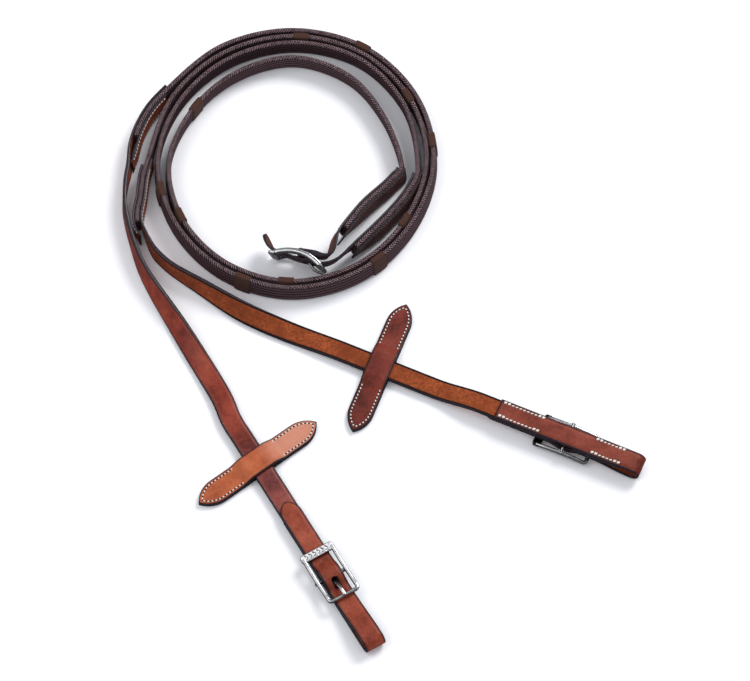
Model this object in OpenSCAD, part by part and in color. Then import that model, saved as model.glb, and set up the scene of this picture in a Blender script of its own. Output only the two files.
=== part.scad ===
// Leather reins: two half reins laid down as one coil, buckled together at the hand end.
// Each half rein is a leather bit end, a ribbed web with sewn hand stops and a leather hand end.
// All sizes are in millimetres. X is across, Y is along the laid out reins, Z is up from the floor.

/* [Straps] */
// Width of every strap and of the web
strap_w = 16; // [12:0.5:22]
// Thickness of the main straps
strap_t = 3; // [2:0.1:4]
// Thickness of the billets and covers at the bit ends
billet_t = 2.2; // [1.6:0.1:3]
// Thickness of the leather where it is thinned for a splice
skive_t = 1.8; // [1:0.1:2.5]
// Thickness of the ribbed web
web_t = 4; // [3:0.1:5]
// Gap left between neighbouring layers
gap = 0.05; // [0.02:0.01:0.1]
// Small chamfer along the edges of every strap
edge = 0.5; // [0.2:0.1:1]

/* [Coil] */
// Height of the web, which stands on edge in the coil
web_w = 16.4; // [12:0.1:22]
// How far the standing web leans in at the top, in degrees
web_lean = 5; // [0:1:15]
// Where the middle of the coil lies
coil_x = -66.5; // [-120:0.5:0]
// Where the middle of the coil lies, towards the back
coil_y = 137.5; // [80:0.5:200]
// How much longer the coil is front to back than side to side
coil_stretch = 1.04; // [0.9:0.01:1.2]
// Steps along a strap in the coil; the hand end takes half of it
path_step = 6; // [4:2:8]

/* [Hand stops] */
// Length of a sewn hand stop along the web
hand_stop_l = 12; // [6:0.5:20]
// Thickness of a hand stop's wall
hand_stop_t = 0.8; // [0.4:0.05:1.2]
// Clearance of a hand stop round the web
hand_stop_clear = 0.1; // [0.05:0.05:0.3]

/* [Rein stops] */
// Length of the left rein stop from tip to tip
stop_l = 107; // [80:1:140]
// How much longer the right rein stop is
right_stop_longer = 4; // [0:0.5:10]
// Width of a rein stop
stop_w = 19; // [16:0.5:26]
// Thickness of each of its two leather layers
stop_t = 2.1; // [1.5:0.1:3]
// Length of its pointed end
stop_tip = 17; // [8:0.5:30]
// Clearance of its tunnel over the strap
stop_clear = 0.3; // [0.1:0.05:1]
// Clearance of its tunnel beside the strap, which lets the stop sit askew
stop_side_clear = 1.35; // [1.3:0.05:2]

/* [Buckles] */
// Clear width inside a buckle
buckle_in = 20.5; // [18:0.5:26]
// Thickness of the side rails and the front bar
rail_d = 3.4; // [2:0.1:5]
// Diameter of the centre bar that the tongue turns on
bar_d = 3; // [2:0.1:4]
// Distance from the centre bar to the front bar
bar_to_front = 19; // [14:0.5:24]
// Distance from the centre bar to the keeper
bar_to_keeper = 19.5; // [14:0.5:24]
// Width of the keeper band
keeper_w = 6; // [4:0.5:10]
// Running clearance of the tongue round its bar
tongue_clear = 0.05; // [0.02:0.01:0.1]
// Width of a tongue
tongue_w = 3.2; // [2:0.1:5]

/* [Bit ends] */
// Distance from the buckle's centre bar to the end of the left bit loop
left_reach = 64; // [56:1:90]
// Distance from the buckle's centre bar to the end of the right bit loop
right_reach = 59; // [56:1:90]
// Inside radius of the loop that holds the bit ring
loop_r = 4; // [3:0.1:8]
// Where the back layer of the billet starts, behind the centre bar
back_start = 55; // [40:1:80]
// Where the tip of the billet ends, behind the centre bar
tip_reach = 67; // [50:1:90]

/* [Stitching] */
// Length of one stitch
stitch_l = 2.4; // [1:0.1:4]
// Distance from stitch to stitch
stitch_pitch = 4; // [2.5:0.1:6]
// Width of the thread
stitch_w = 0.8; // [0.4:0.1:1.2]
// Thickness of a stitch, half of it sunk into the leather
stitch_h = 0.6; // [0.3:0.1:1]
// Distance of a row of stitches from the edge of the strap
row_inset = 2.6; // [1.5:0.1:4]

/* [Hidden] */
$fn = 48;
half_w = strap_w / 2;
eye_r = bar_d / 2 + 0.9;
row_y = half_w - row_inset;
// The web stands on its hand stops, which are a little wider than it.
sleeve_w = web_w + 2 * hand_stop_clear;
stand = sleeve_w / 2 + hand_stop_t - half_w + 0.05;
// Heights above the centre bar of the layers at a bit end.
back_top = -eye_r - 0.1;
back_low = back_top - billet_t;
strap_low = back_top + gap;
strap_mid = strap_low + strap_t / 2;
top_low = strap_low + strap_t + gap;
rise_over_bar = bar_d / 2 + 0.1 - strap_low;
bit_rise = top_low + billet_t + 0.25 + rail_d / 2;
hand_rise = 7;
tongue_t = 2;
left_bar_z = stitch_h / 2 - back_low;
right_bar_z = bit_rise + rail_d / 2 + tongue_t + 0.6;
hand_bar_z = 15.9;
// Height of a strap's underside where it runs through a rein stop
strap_rest = left_bar_z + strap_low;
// Turn of the hand buckle about its length: 0 lies flat, 90 stands on edge
lean = 110;
// Thickness of the cover layers at the hand end
hand_cover_t = 1.2;
// Length of the pointed tips of the bit billets and of the hand billet
bit_tip = 11;
hand_tip = 9;
// Place of the centre bar along each rein's path, and where the main strap starts on it
bar_at = 62;
strap_start = 18;

// The left half rein's bit end lies towards the front, the right one's towards the right.
left_loop = [-4, -251.3];
left_dir = 120.5;
right_loop = [193, -114.5];
right_dir = 156.1;
hand_bar = [-58.5, 59.5];
hand_dir = 162;

// Radii of the coil every thirty degrees, counted clockwise from the left side.
left_radii = [113.5, 112.3, 111.6, 111.1, 109, 106.4, 102.5, 102.2, 102.4, 100.6, 99.8,
    101, 99.7, 100.1, 101, 100.8, 97.4, 94.6];
right_radii = [108.6, 106.4, 106.4, 106.4, 105.9, 103.7, 101.1, 97.2, 96.9, 97.2, 95.3, 93.8,
    92.6, 87.8, 87, 88.4, 84.3, 79.2, 82.1];

function along(p, dir, d) = p + d * [cos(dir), sin(dir)];
function coil_point(r, a) = let (m = r + web_w / 2 * sin(web_lean))
    [coil_x - m * cos(a), coil_y + coil_stretch * m * sin(a)];
// A point beside the hand buckle: u along it towards the keeper, w out of its face.
function hand_point(u, w) = hand_bar + u * [cos(hand_dir), sin(hand_dir)]
    + w * sin(lean) * [-sin(hand_dir), cos(hand_dir)];

left_knots = concat(
    [for (d = [0, 62, 125, 185, 207]) along(left_loop, left_dir, d)],
    [[-119, -49.4], [-146.5, -2], [-174, 44], [-185.5, 74], [-191.5, 100], [-192, 120],
        [-188.6, 141], [-181.6, 170]],
    [for (i = [0:len(left_radii) - 1]) coil_point(left_radii[i], 30 + 30 * i)],
    [[22.5, 114], [3, 86.5], [-15.5, 67.5], [-30, 55]],
    [hand_point(-17, 3.6), hand_point(-8, 4.6), hand_point(0, 5.1),
        hand_point(8, 4.7), hand_point(17, 3.8), hand_point(23, 2.2), hand_point(27.5, -2.6),
        hand_point(31.5, -8.6)]
);
right_knots = concat(
    [for (d = [0, 62, 120, 170, 220, 255]) along(right_loop, right_dir, d)],
    [[-97.6, 13.5], [-132.8, 35.5], [-161.5, 56.5], [-180.5, 84], [-179.5, 110]],
    [for (i = [0:len(right_radii) - 1]) coil_point(right_radii[i], 30 * i)],
    [[9.6, 122.7], [-7.7, 103.7], [-20.1, 88.5], [-30, 75]],
    [hand_point(-20, -5.6), hand_point(-10, -2), hand_point(0, 0), hand_point(8, 1)]
);

// A smooth curve through the knots, then the length along it.
function curve(p, i, t) =
    let (a = p[max(i - 1, 0)], b = p[i], c = p[i + 1], d = p[min(i + 2, len(p) - 1)])
    0.5 * (2 * b + (c - a) * t + (2 * a - 5 * b + 4 * c - d) * t * t
        + (3 * b - a - 3 * c + d) * t * t * t);
function trace(p) = concat(
    [for (i = [0:len(p) - 2]) for (j = [0:9]) curve(p, i, j / 10)], [p[len(p) - 1]]);
function lengths(q) = [for (i = 0, s = 0; i < len(q); i = i + 1,
    s = s + (i < len(q) ? norm(q[i] - q[i - 1]) : 0)) s];
function table(q, s, k) = [for (i = [0:len(q) - 1]) [s[i], q[i][k]]];

trace_l = trace(left_knots);
trace_r = trace(right_knots);
len_l = lengths(trace_l);
len_r = lengths(trace_r);
xs = [table(trace_l, len_l, 0), table(trace_r, len_r, 0)];
ys = [table(trace_l, len_l, 1), table(trace_r, len_r, 1)];
// Length along each rein at a knot, and the same moved to the nearest shared station.
function at_knot(k, i) = k == 0 ? len_l[10 * i] : len_r[10 * i];
function snap(s, step) = step * round(s / step);
fine_step = path_step / 2;
end_s = [len_l[len(len_l) - 1], len_r[len(len_r) - 1]];
bar_s = [at_knot(0, 37), at_knot(1, 36)];
web_from = [snap(at_knot(0, 12) - 8, path_step), snap(at_knot(1, 10) - 22, path_step)];
web_to = [snap(at_knot(0, 33) + 4, fine_step), snap(at_knot(1, 33) - 4, fine_step)];
splice_from = [snap(at_knot(0, 10) + 18, path_step), snap(at_knot(1, 9) - 10, path_step)];
splice_to = [snap(at_knot(0, 13) + 10, path_step), snap(at_knot(1, 11) + 4, path_step)];
hand_from = [snap(at_knot(0, 30) + 8, path_step), snap(at_knot(1, 29) + 6, path_step)];
hand_cover_to = [snap(bar_s[0] - 42, fine_step), snap(bar_s[1] - 36, fine_step)];
// Layers that lie on one another share their stations, so that they stay parallel.
function stations(k, a, b) = [for (i = [ceil(a / fine_step):floor(b / fine_step)])
    if (i % 2 == 0 || i * fine_step > hand_from[k]) i * fine_step];

// Smooth step from 0 to 1 between a and b.
function ease(s, a, b) = let (t = min(1, max(0, (s - a) / (b - a)))) t * t * (3 - 2 * t);
// Turn of the strap about its length: 0 lies flat, 90 stands on edge.
function roll(k, s) = (90 - web_lean) * ease(s, k == 0 ? 205 : 250, k == 0 ? 385 : 400)
    + 8 * ease(s, 400, 440) * (1 - ease(s, web_from[k] + 30, web_from[k] + 90))
    + (lean + web_lean - 90) * ease(s, bar_s[k] - 75, bar_s[k] - 28);
// Rise of a layer where it goes over the centre bar, at u from the bar.
function over_bar(u) = rise_over_bar * (1 - ease(abs(u), 2.2, 12));
// Height of the middle of the strap. The right rein comes down from its face down buckle.
function height(k, s) =
    let (r = roll(k, s), up = half_w + stand * ease(s, 420, 500),
        rest = up * sin(r) + strap_t / 2 * cos(r))
    s > 700 ? up + ease(s, bar_s[k] - 120, bar_s[k] - 28) * (hand_bar_z - up
        + cos(lean) * (k == 0 ? 4.6 : 0)) :
    k == 0 ? rest + (1 - ease(s, 205, 265)) * strap_rest + over_bar(s - bar_at) :
    rest + (1 - ease(s, 240, 290)) * strap_rest
        + (1 - ease(s, 130, 168)) * (right_bar_z - strap_mid - strap_t / 2 - strap_rest)
        - over_bar(s - bar_at);

function flat_at(k, s) = [lookup(s, xs[k]), lookup(s, ys[k])];
// Place and directions of a cross section: middle, along, across, out of the face.
function station(k, s) =
    let (a = flat_at(k, s - 1), b = flat_at(k, s + 1), d = (b - a) / norm(b - a),
        p = flat_at(k, s), r = roll(k, s))
    [[p[0], p[1], height(k, s)], [d[0], d[1], 0],
        [d[1] * cos(r), -d[0] * cos(r), sin(r)],
        [-d[1] * sin(r), d[0] * sin(r), cos(r)]];

// Outline of a strap's section, w across and t thick, with chamfered corners.
function section(w, t, c) = [[-w / 2 + c, -t / 2], [w / 2 - c, -t / 2], [w / 2, -t / 2 + c],
    [w / 2, t / 2 - c], [w / 2 - c, t / 2], [-w / 2 + c, t / 2], [-w / 2, t / 2 - c],
    [-w / 2, -t / 2 + c]];
function ring_of(f, off, w, t, c) =
    [for (q = section(w, t, c)) f[0] + q[0] * f[2] + (q[1] + off) * f[3]];

// Two triangles for side j between two rings, split alike on faces that lie together.
function quad(a, b, c, d, j) = j < 4 ? [[a, b, c], [a, c, d]] : [[a, b, d], [b, c, d]];
function flipped(faces) = [for (f = faces) [f[2], f[1], f[0]]];

// A strap along rein k. rows holds [s, offset out of the face, width, thickness].
module strap_along(k, rows) {
    pts = [for (r = rows) each ring_of(station(k, r[0]), r[1], r[2], r[3], min(edge, r[3] / 4))];
    n = len(rows);
    sides = [for (i = [0:n - 2]) for (j = [0:7])
        let (a = 8 * i + j, b = 8 * i + (j + 1) % 8) each quad(a, b, b + 8, a + 8, j)];
    caps = [for (j = [1:6]) each [[0, j + 1, j], [8 * n - 8, 8 * n - 8 + j, 8 * n - 7 + j]]];
    polyhedron(points = pts, faces = concat(sides, caps), convexity = 10);
}

// Evenly spread places from a to b.
function spread(a, b, step) = let (n = ceil((b - a) / step)) [for (i = [0:n]) a + (b - a) * i / n];

// A sleeve round the web from a to b.
module sleeve_along(k, a, b, w, t, wall) {
    inside = [for (v = stations(k, a, b)) if (v > a + 0.5 && v < b - 0.5) v];
    s = concat([a], inside, [b]);
    n = len(s);
    pts = [for (v = s) each concat(
        ring_of(station(k, v), 0, w + 2 * wall, t + 2 * wall, edge + wall / 2),
        ring_of(station(k, v), 0, w, t, edge))];
    faces = concat(
        [for (i = [0:n - 2]) for (j = [0:7])
            let (a = 16 * i + j, b = 16 * i + (j + 1) % 8)
            each concat(quad(a, b, b + 16, a + 16, j),
                flipped(quad(a + 8, b + 8, b + 24, a + 24, j)))],
        [for (j = [0:7])
            let (a = j, b = (j + 1) % 8, e = 16 * (n - 1))
            each [[a, a + 8, b], [b, a + 8, b + 8],
                [e + a, e + b, e + a + 8], [e + b, e + b + 8, e + a + 8]]]);
    polyhedron(points = pts, faces = faces, convexity = 10);
}

// One stitch, half of it below the surface.
module stitch() {
    cube([stitch_l, stitch_w, stitch_h], center = true);
}

// Two rows of stitches along rein k, on the strap of the splice or on the cover of the hand end.
module stitches_along(k, a, b, side, hand) {
    for (s = spread(a, b, stitch_pitch))
        for (v = [-row_y, row_y]) {
            f = station(k, s);
            c = hand ? hand_cover_row(k, s, side) : splice_row(k, s, side);
            m = f[0] + v * f[2] + (c[1] + side * c[3] / 2) * f[3];
            multmatrix([[f[1][0], f[2][0], f[3][0], m[0]], [f[1][1], f[2][1], f[3][1], m[1]],
                [f[1][2], f[2][2], f[3][2], m[2]], [0, 0, 0, 1]])
                stitch();
        }
}

// Local frames: X to the front bar, Y across the strap, Z out of the buckle's face.
module at_left_bit() {
    p = along(left_loop, left_dir, bar_at);
    translate([p[0], p[1], left_bar_z]) rotate([0, 0, left_dir - 180]) children();
}

module at_right_bit() {
    p = along(right_loop, right_dir, bar_at);
    translate([p[0], p[1], right_bar_z]) rotate([0, 0, right_dir - 180])
        rotate([180, 0, 0]) children();
}

module at_hand() {
    translate([hand_bar[0], hand_bar[1], hand_bar_z]) rotate([0, 0, hand_dir - 180])
        rotate([lean, 0, 0]) children();
}

// Lays a side profile drawn in X and Z across the strap, w wide.
module across(w) {
    rotate([90, 0, 0]) linear_extrude(height = w, center = true) children();
}

// Buckle frame: rails, front bar, centre bar and a plain keeper band with two grooves.
module buckle_frame(rise, sag) {
    y_rail = buckle_in / 2 + rail_d / 2;
    boss_r = bar_d / 2 + 0.5;
    groove_x = keeper_w / 4;
    groove_d = 0.8;
    xs = [for (i = [0:12]) -bar_to_keeper + (bar_to_front + bar_to_keeper) * i / 12];
    function rail_z(x) = rise - sag * (1 - pow((x > 0 ? x / bar_to_front : x / bar_to_keeper), 2));
    for (side = [-1, 1])
        translate([0, side * y_rail, 0]) across(rail_d) {
            polygon(concat([for (x = xs) [x, rail_z(x) + rail_d / 2]],
                [for (i = [12:-1:0]) [xs[i], rail_z(xs[i]) - rail_d / 2]]));
            translate([bar_to_front, rise]) circle(d = rail_d);
            translate([-bar_to_keeper, rise]) circle(d = rail_d);
            circle(r = boss_r);
            translate([-boss_r, 0]) square([2 * boss_r, rail_z(0)]);
        }
    across(buckle_in + 1) circle(d = bar_d);
    translate([bar_to_front, 0, rise]) across(buckle_in + 1) circle(d = rail_d);
    difference() {
        translate([-bar_to_keeper - keeper_w / 2, -buckle_in / 2 - rail_d, rise - rail_d / 2])
            cube([keeper_w, buckle_in + 2 * rail_d, rail_d]);
        for (side = [-1, 1])
            translate([-bar_to_keeper + side * groove_x, 0, rise + rail_d / 2])
                rotate([90, 0, 0]) cylinder(d = groove_d, h = buckle_in, center = true);
    }
}

// Buckle tongue: an eye on the centre bar and a bent arm that ends on the front bar.
module buckle_tongue(rise) {
    z_end = rise + rail_d / 2 + 0.05 + tongue_t / 2;
    knots = [[0.6, 1.2], [4.5, 2.2 + rise * 0.1], [8.5, z_end * 0.62], [12.5, z_end * 0.93],
        [16, z_end + 0.15], [bar_to_front + 1.6, z_end]];
    arm = [for (i = [0:4]) for (j = [0:3]) curve(knots, i, j / 4)];
    n = len(arm);
    function side(i) = let (d = arm[min(i + 1, n - 1)] - arm[max(i - 1, 0)])
        [-d[1], d[0]] / norm(d);
    difference() {
        union() {
            across(tongue_w) circle(r = eye_r);
            across(tongue_w) polygon(concat(
                [for (i = [0:n - 1]) arm[i] + side(i) * tongue_t / 2],
                [for (i = [n - 1:-1:0]) arm[i] - side(i) * tongue_t / 2]));
        }
        across(tongue_w + 1) circle(r = bar_d / 2 + tongue_clear);
    }
}

// Oval hole for a tongue, from x0 to x1 along the strap.
module tongue_hole(x0, x1, z0, z1) {
    d = tongue_w + 1.2;
    translate([0, 0, z0]) linear_extrude(height = z1 - z0) {
        translate([x0 + d / 2, 0]) circle(d = d);
        translate([x1 - d / 2, 0]) circle(d = d);
        translate([x0 + d / 2, -d / 2]) square([x1 - x0 - d, d]);
    }
}

// Radius of the two arcs of a pointed end, and its half width at d from the point.
function tip_r(w, tip) = (tip * tip + w * w / 4) / w;
function tip_half(d, w, tip) = d > tip ? w / 2
    : sqrt(pow(tip_r(w, tip), 2) - pow(tip - d, 2)) - tip_r(w, tip) + w / 2;

// Plan outline of a strap with a pointed end at x = 0 and its square end at x = l.
module pointed(l, w, tip) {
    r = tip_r(w, tip);
    intersection() {
        translate([0, -w / 2]) square([l, w]);
        union() {
            translate([tip, -w / 2]) square([l, w]);
            intersection() {
                translate([tip, r - w / 2]) circle(r = r, $fn = 96);
                translate([tip, w / 2 - r]) circle(r = r, $fn = 96);
            }
        }
    }
}

// Billet at a bit end: back layer, loop for the bit ring, and the run back over the strap.
module bit_billet(reach) {
    x_axis = reach - loop_r - billet_t;
    z_axis = back_low + loop_r + billet_t;
    function run_low(x) = top_low + over_bar(x)
        + (z_axis + loop_r - top_low) * ease(x, 19, x_axis);
    inner = [for (i = [floor(-tip_reach / 2) + 1:ceil(x_axis / 2) - 1]) 2 * i];
    xs = concat([-tip_reach], inner, [x_axis]);
    across(strap_w) {
        translate([-back_start, back_low]) square([x_axis + back_start, billet_t]);
        difference() {
            translate([x_axis, z_axis]) circle(r = loop_r + billet_t);
            translate([x_axis, z_axis]) circle(r = loop_r);
            translate([x_axis - 20, z_axis - 20]) square([20, 40]);
        }
    }
    intersection() {
        across(strap_w) polygon(concat([for (x = xs) [x, run_low(x)]],
            [for (i = [len(xs) - 1:-1:0]) [xs[i], run_low(xs[i]) + billet_t]]));
        difference() {
            translate([-tip_reach, 0, -10]) linear_extrude(height = 40)
                pointed(tip_reach + reach, strap_w, bit_tip);
            tongue_hole(3, 12, -1, 12);
        }
    }
}

// Two stitched lengths of the back layer, one each side of the buckle.
module bit_stitches() {
    for (run = [[2 - back_start, -21], [21, 43]])
        for (x = spread(run[0], run[1], stitch_pitch))
            for (y = [-row_y, row_y])
                translate([x, y, back_low]) stitch();
}

// Rein stop, in its own frame: X along the stop, Y along the strap, Z up, floor at 0.
tunnel = half_w + stop_side_clear;
ramp = 11;
function bulge(x) = (strap_rest + strap_t + stop_clear - stop_t - gap)
    * (1 - ease(abs(x), tunnel, tunnel + ramp));

module stop_outline(l) {
    intersection() {
        translate([-l / 2, 0]) pointed(l, stop_w, stop_tip);
        mirror([1, 0]) translate([-l / 2, 0]) pointed(l, stop_w, stop_tip);
    }
}

module stop_base(l) {
    linear_extrude(height = stop_t) stop_outline(l);
}

module stop_top(l) {
    half = concat([-l / 2], [for (i = [0:8]) -tunnel - ramp + ramp * i / 8]);
    all = concat(half, [for (i = [len(half) - 1:-1:0]) -half[i]]);
    intersection() {
        across(stop_w) polygon(concat(
            [for (x = all) [x, stop_t + gap + bulge(x)]],
            [for (i = [len(all) - 1:-1:0]) [all[i], 2 * stop_t + gap + bulge(all[i])]]));
        linear_extrude(height = 40) stop_outline(l);
    }
}

// Stitches inside the outline of both flat halves, turned along it.
module stop_stitches(l) {
    function half_at(x) = tip_half(l / 2 - x, stop_w, stop_tip);
    for (x = spread(tunnel + ramp + 1, l / 2 - 2 * row_inset, stitch_pitch)) {
        turn = atan(10 * (half_at(x + 0.05) - half_at(x - 0.05)));
        for (side = [-1, 1])
            for (v = [-1, 1])
                translate([side * (x + row_inset * sin(turn)),
                    v * (half_at(x) - row_inset * cos(turn)), 2 * stop_t + gap])
                    rotate([0, 0, side * v * turn]) stitch();
    }
}

// Where each stop sits along its rein, and how far it is turned askew.
stop_s = [168, 211.5];
stop_turn = [7, 3];
right_stop_l = stop_l + right_stop_longer;

module at_left_stop() {
    p = along(left_loop, left_dir, stop_s[0]);
    translate([p[0], p[1], 0]) rotate([0, 0, left_dir - 90 + stop_turn[0]]) children();
}

module at_right_stop() {
    p = along(right_loop, right_dir, stop_s[1]);
    translate([p[0], p[1], 0]) rotate([0, 0, right_dir - 90 + stop_turn[1]]) children();
}

// Layers of a splice: [s, offset out of the face, width, thickness] of the strap and its cover.
function splice_row(k, s, side) =
    let (e = ease(s, web_from[k] - 5 * path_step, web_from[k] - path_step))
    [s, side * (web_t / 2 + gap + skive_t / 2) * e, strap_w, strap_t + (skive_t - strap_t) * e];
function cover_row(k, s, side) =
    let (e = ease(s, web_from[k] - 5 * path_step, web_from[k] - path_step),
        in = (strap_t / 2 + gap) * (1 - e) + (web_t / 2 + gap) * e,
        t = skive_t * (0.55 + 0.45 * ease(s, splice_from[k], splice_from[k] + 10)))
    [s, side * (in + t / 2), strap_w, t];

// Main straps. The left one shows its face, the right one its back.
module rein_strap(k, side) {
    near = [for (s = [strap_start:2:2 * bar_at - strap_start]) s];
    far = stations(k, 2 * bar_at - strap_start + 1, splice_to[k]);
    strap_along(k, [for (s = concat(near, far)) splice_row(k, s, side)]);
}

module splice_cover(k, side) {
    strap_along(k, [for (s = stations(k, splice_from[k], splice_to[k] - path_step))
        cover_row(k, s, -side)]);
}

module web(k) {
    strap_along(k, [for (s = stations(k, web_from[k], web_to[k])) [s, 0, web_w, web_t]]);
}

left_stop_angles = [117, 170, 230, 290, 347];
right_stop_angles = [93, 148, 209, 271, 333, 393];
// Length along the rein at an angle of the coil.
function at_angle(k, a) = k == 0
    ? lookup((a - 30) * 10 / 30, [for (i = [0:170]) [i, len_l[130 + i]]])
    : lookup(a * 10 / 30, [for (i = [0:180]) [i, len_r[110 + i]]]);

module hand_stops(k, angles) {
    for (a = angles) {
        s = snap(at_angle(k, a), path_step);
        sleeve_along(k, s - hand_stop_l / 2, s + hand_stop_l / 2, sleeve_w,
            web_t + 2 * hand_stop_clear, hand_stop_t);
    }
}

// Leather hand ends: one long layer that runs on past the web, one short cover.
function past_web(k, s) = ease(s, web_to[k] + fine_step, web_to[k] + 9 * fine_step);
function hand_row(k, s) =
    let (e = 1 - past_web(k, s))
    [s, -(web_t / 2 + gap + skive_t / 2) * e, strap_w, billet_t + (skive_t - billet_t) * e];
function hand_cover_row(k, s, side) =
    let (e = 1 - past_web(k, s), in = (billet_t / 2 + gap) * (1 - e) + (web_t / 2 + gap) * e)
    [s, side * (in + hand_cover_t / 2), strap_w, hand_cover_t];
module hand_cover(k) {
    strap_along(k, [for (s = stations(k, hand_from[k], hand_cover_to[k])) hand_cover_row(k, s, 1)]);
}

leather = [0.45, 0.18, 0.1];
tan = [0.62, 0.33, 0.14];
dark = [0.2, 0.12, 0.11];
thread = [0.93, 0.92, 0.88];
steel = [0.78, 0.79, 0.8];

module left_web() {
    color(dark) web(0);
}
module right_web() {
    color(dark) web(1);
}
module left_hand_stops() {
    color([0.28, 0.18, 0.12]) hand_stops(0, left_stop_angles);
}
module right_hand_stops() {
    color([0.28, 0.18, 0.12]) hand_stops(1, right_stop_angles);
}
module left_rein_strap() {
    color(leather) difference() {
        rein_strap(0, 1);
        at_left_bit() tongue_hole(-4.5, 12, -5, 6);
    }
}
module right_rein_strap() {
    color(tan) difference() {
        rein_strap(1, -1);
        at_right_bit() tongue_hole(-4.5, 12, -5, 6);
    }
}
module left_splice_cover() {
    color(leather) splice_cover(0, 1);
}
module right_splice_cover() {
    color(leather) splice_cover(1, -1);
}
module left_splice_stitching() {
    color(thread) stitches_along(0, splice_from[0] + 3, splice_to[0] - 4, 1, false);
}
module right_splice_stitching() {
    color(thread) stitches_along(1, splice_from[1] + 3, splice_to[1] - 4, -1, false);
}
module left_bit_billet() {
    color(leather) at_left_bit() bit_billet(left_reach);
}
module right_bit_billet() {
    color(leather) at_right_bit() bit_billet(right_reach);
}
module left_bit_buckle() {
    color(steel) at_left_bit() buckle_frame(bit_rise, 1.5);
}
module right_bit_buckle() {
    color(steel) at_right_bit() buckle_frame(bit_rise, 1.5);
}
module left_bit_tongue() {
    color(steel) at_left_bit() buckle_tongue(bit_rise);
}
module right_bit_tongue() {
    color(steel) at_right_bit() buckle_tongue(bit_rise);
}
module left_bit_stitching() {
    color(thread) at_left_bit() bit_stitches();
}
module right_bit_stitching() {
    color(thread) at_right_bit() bit_stitches();
}
module left_stop_base() {
    color(leather) at_left_stop() stop_base(stop_l);
}
module left_stop_top() {
    color([0.6, 0.3, 0.16]) at_left_stop() stop_top(stop_l);
}
module left_stop_stitching() {
    color(thread) at_left_stop() stop_stitches(stop_l);
}
module right_stop_base() {
    color(leather) at_right_stop() stop_base(right_stop_l);
}
module right_stop_top() {
    color(leather) at_right_stop() stop_top(right_stop_l);
}
module right_stop_stitching() {
    color(thread) at_right_stop() stop_stitches(right_stop_l);
}
module hand_billet() {
    tip = [for (d = [6, 3.5, 1.8, 0.6])
        [end_s[0] - d, 0, 2 * tip_half(d, strap_w, hand_tip), billet_t]];
    rows = [for (s = stations(0, hand_from[0], end_s[0] - hand_tip)) hand_row(0, s)];
    color(dark) difference() {
        strap_along(0, concat(rows, tip));
        at_hand() tongue_hole(2, 12, 1, 9);
    }
}
module hand_billet_cover() {
    color(dark) hand_cover(0);
}
module hand_billet_stitching() {
    color(thread) stitches_along(0, hand_from[0] + 4, hand_cover_to[0] - 4, 1, true);
}
// The chape folds round the centre bar; behind it the fold closes to the thickness of the strap.
module hand_chape() {
    fold = bar_d / 2 + gap + 1.7;
    s = concat(stations(1, hand_from[1], bar_s[1] - 2), [bar_s[1] - 1]);
    rows = [for (v = s) let (r = hand_row(1, v), e = ease(v, bar_s[1] - 22, bar_s[1] - 5))
        [v, r[1] * (1 - e), r[2], r[3] + (1.9 * fold - r[3]) * e]];
    color(dark) difference() {
        union() {
            strap_along(1, rows);
            at_hand() across(strap_w - 0.1) circle(r = fold);
        }
        at_hand() across(strap_w + 4) circle(r = bar_d / 2 + gap);
        at_hand() translate([-6, -tongue_w / 2 - 0.5, -eye_r - 0.1])
            cube([16, tongue_w + 1, 12]);
    }
}
module hand_chape_cover() {
    color(dark) hand_cover(1);
}
module hand_chape_stitching() {
    color(thread) stitches_along(1, hand_from[1] + 4, hand_cover_to[1] - 4, 1, true);
}
module hand_buckle() {
    color(steel) at_hand() buckle_frame(hand_rise, hand_rise - 0.6);
}
module hand_tongue() {
    color(steel) at_hand() buckle_tongue(hand_rise);
}

left_web();
right_web();
left_hand_stops();
right_hand_stops();
left_rein_strap();
right_rein_strap();
left_splice_cover();
right_splice_cover();
left_splice_stitching();
right_splice_stitching();
left_bit_billet();
right_bit_billet();
left_bit_buckle();
right_bit_buckle();
left_bit_tongue();
right_bit_tongue();
left_bit_stitching();
right_bit_stitching();
left_stop_base();
left_stop_top();
left_stop_stitching();
right_stop_base();
right_stop_top();
right_stop_stitching();
hand_billet();
hand_billet_cover();
hand_billet_stitching();
hand_chape();
hand_chape_cover();
hand_chape_stitching();
hand_buckle();
hand_tongue();
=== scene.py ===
import math

import bmesh
import bpy
import numpy as np
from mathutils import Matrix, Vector


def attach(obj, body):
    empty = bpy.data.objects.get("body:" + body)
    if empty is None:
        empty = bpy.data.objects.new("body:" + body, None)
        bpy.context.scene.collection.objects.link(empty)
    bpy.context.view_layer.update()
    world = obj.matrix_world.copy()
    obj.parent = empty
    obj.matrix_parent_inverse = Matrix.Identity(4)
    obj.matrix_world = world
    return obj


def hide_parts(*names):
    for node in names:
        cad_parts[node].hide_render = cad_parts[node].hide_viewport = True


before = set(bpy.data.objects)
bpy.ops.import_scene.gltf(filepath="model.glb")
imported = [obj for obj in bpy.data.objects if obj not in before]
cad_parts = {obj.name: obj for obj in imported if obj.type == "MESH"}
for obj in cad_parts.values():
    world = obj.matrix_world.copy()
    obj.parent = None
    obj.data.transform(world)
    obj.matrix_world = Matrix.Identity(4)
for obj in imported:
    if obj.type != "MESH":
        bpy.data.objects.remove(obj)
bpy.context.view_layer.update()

# Leather reins laid down as a coil. Lengths are millimetres until a mesh is made.
MM = 0.001

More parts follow.
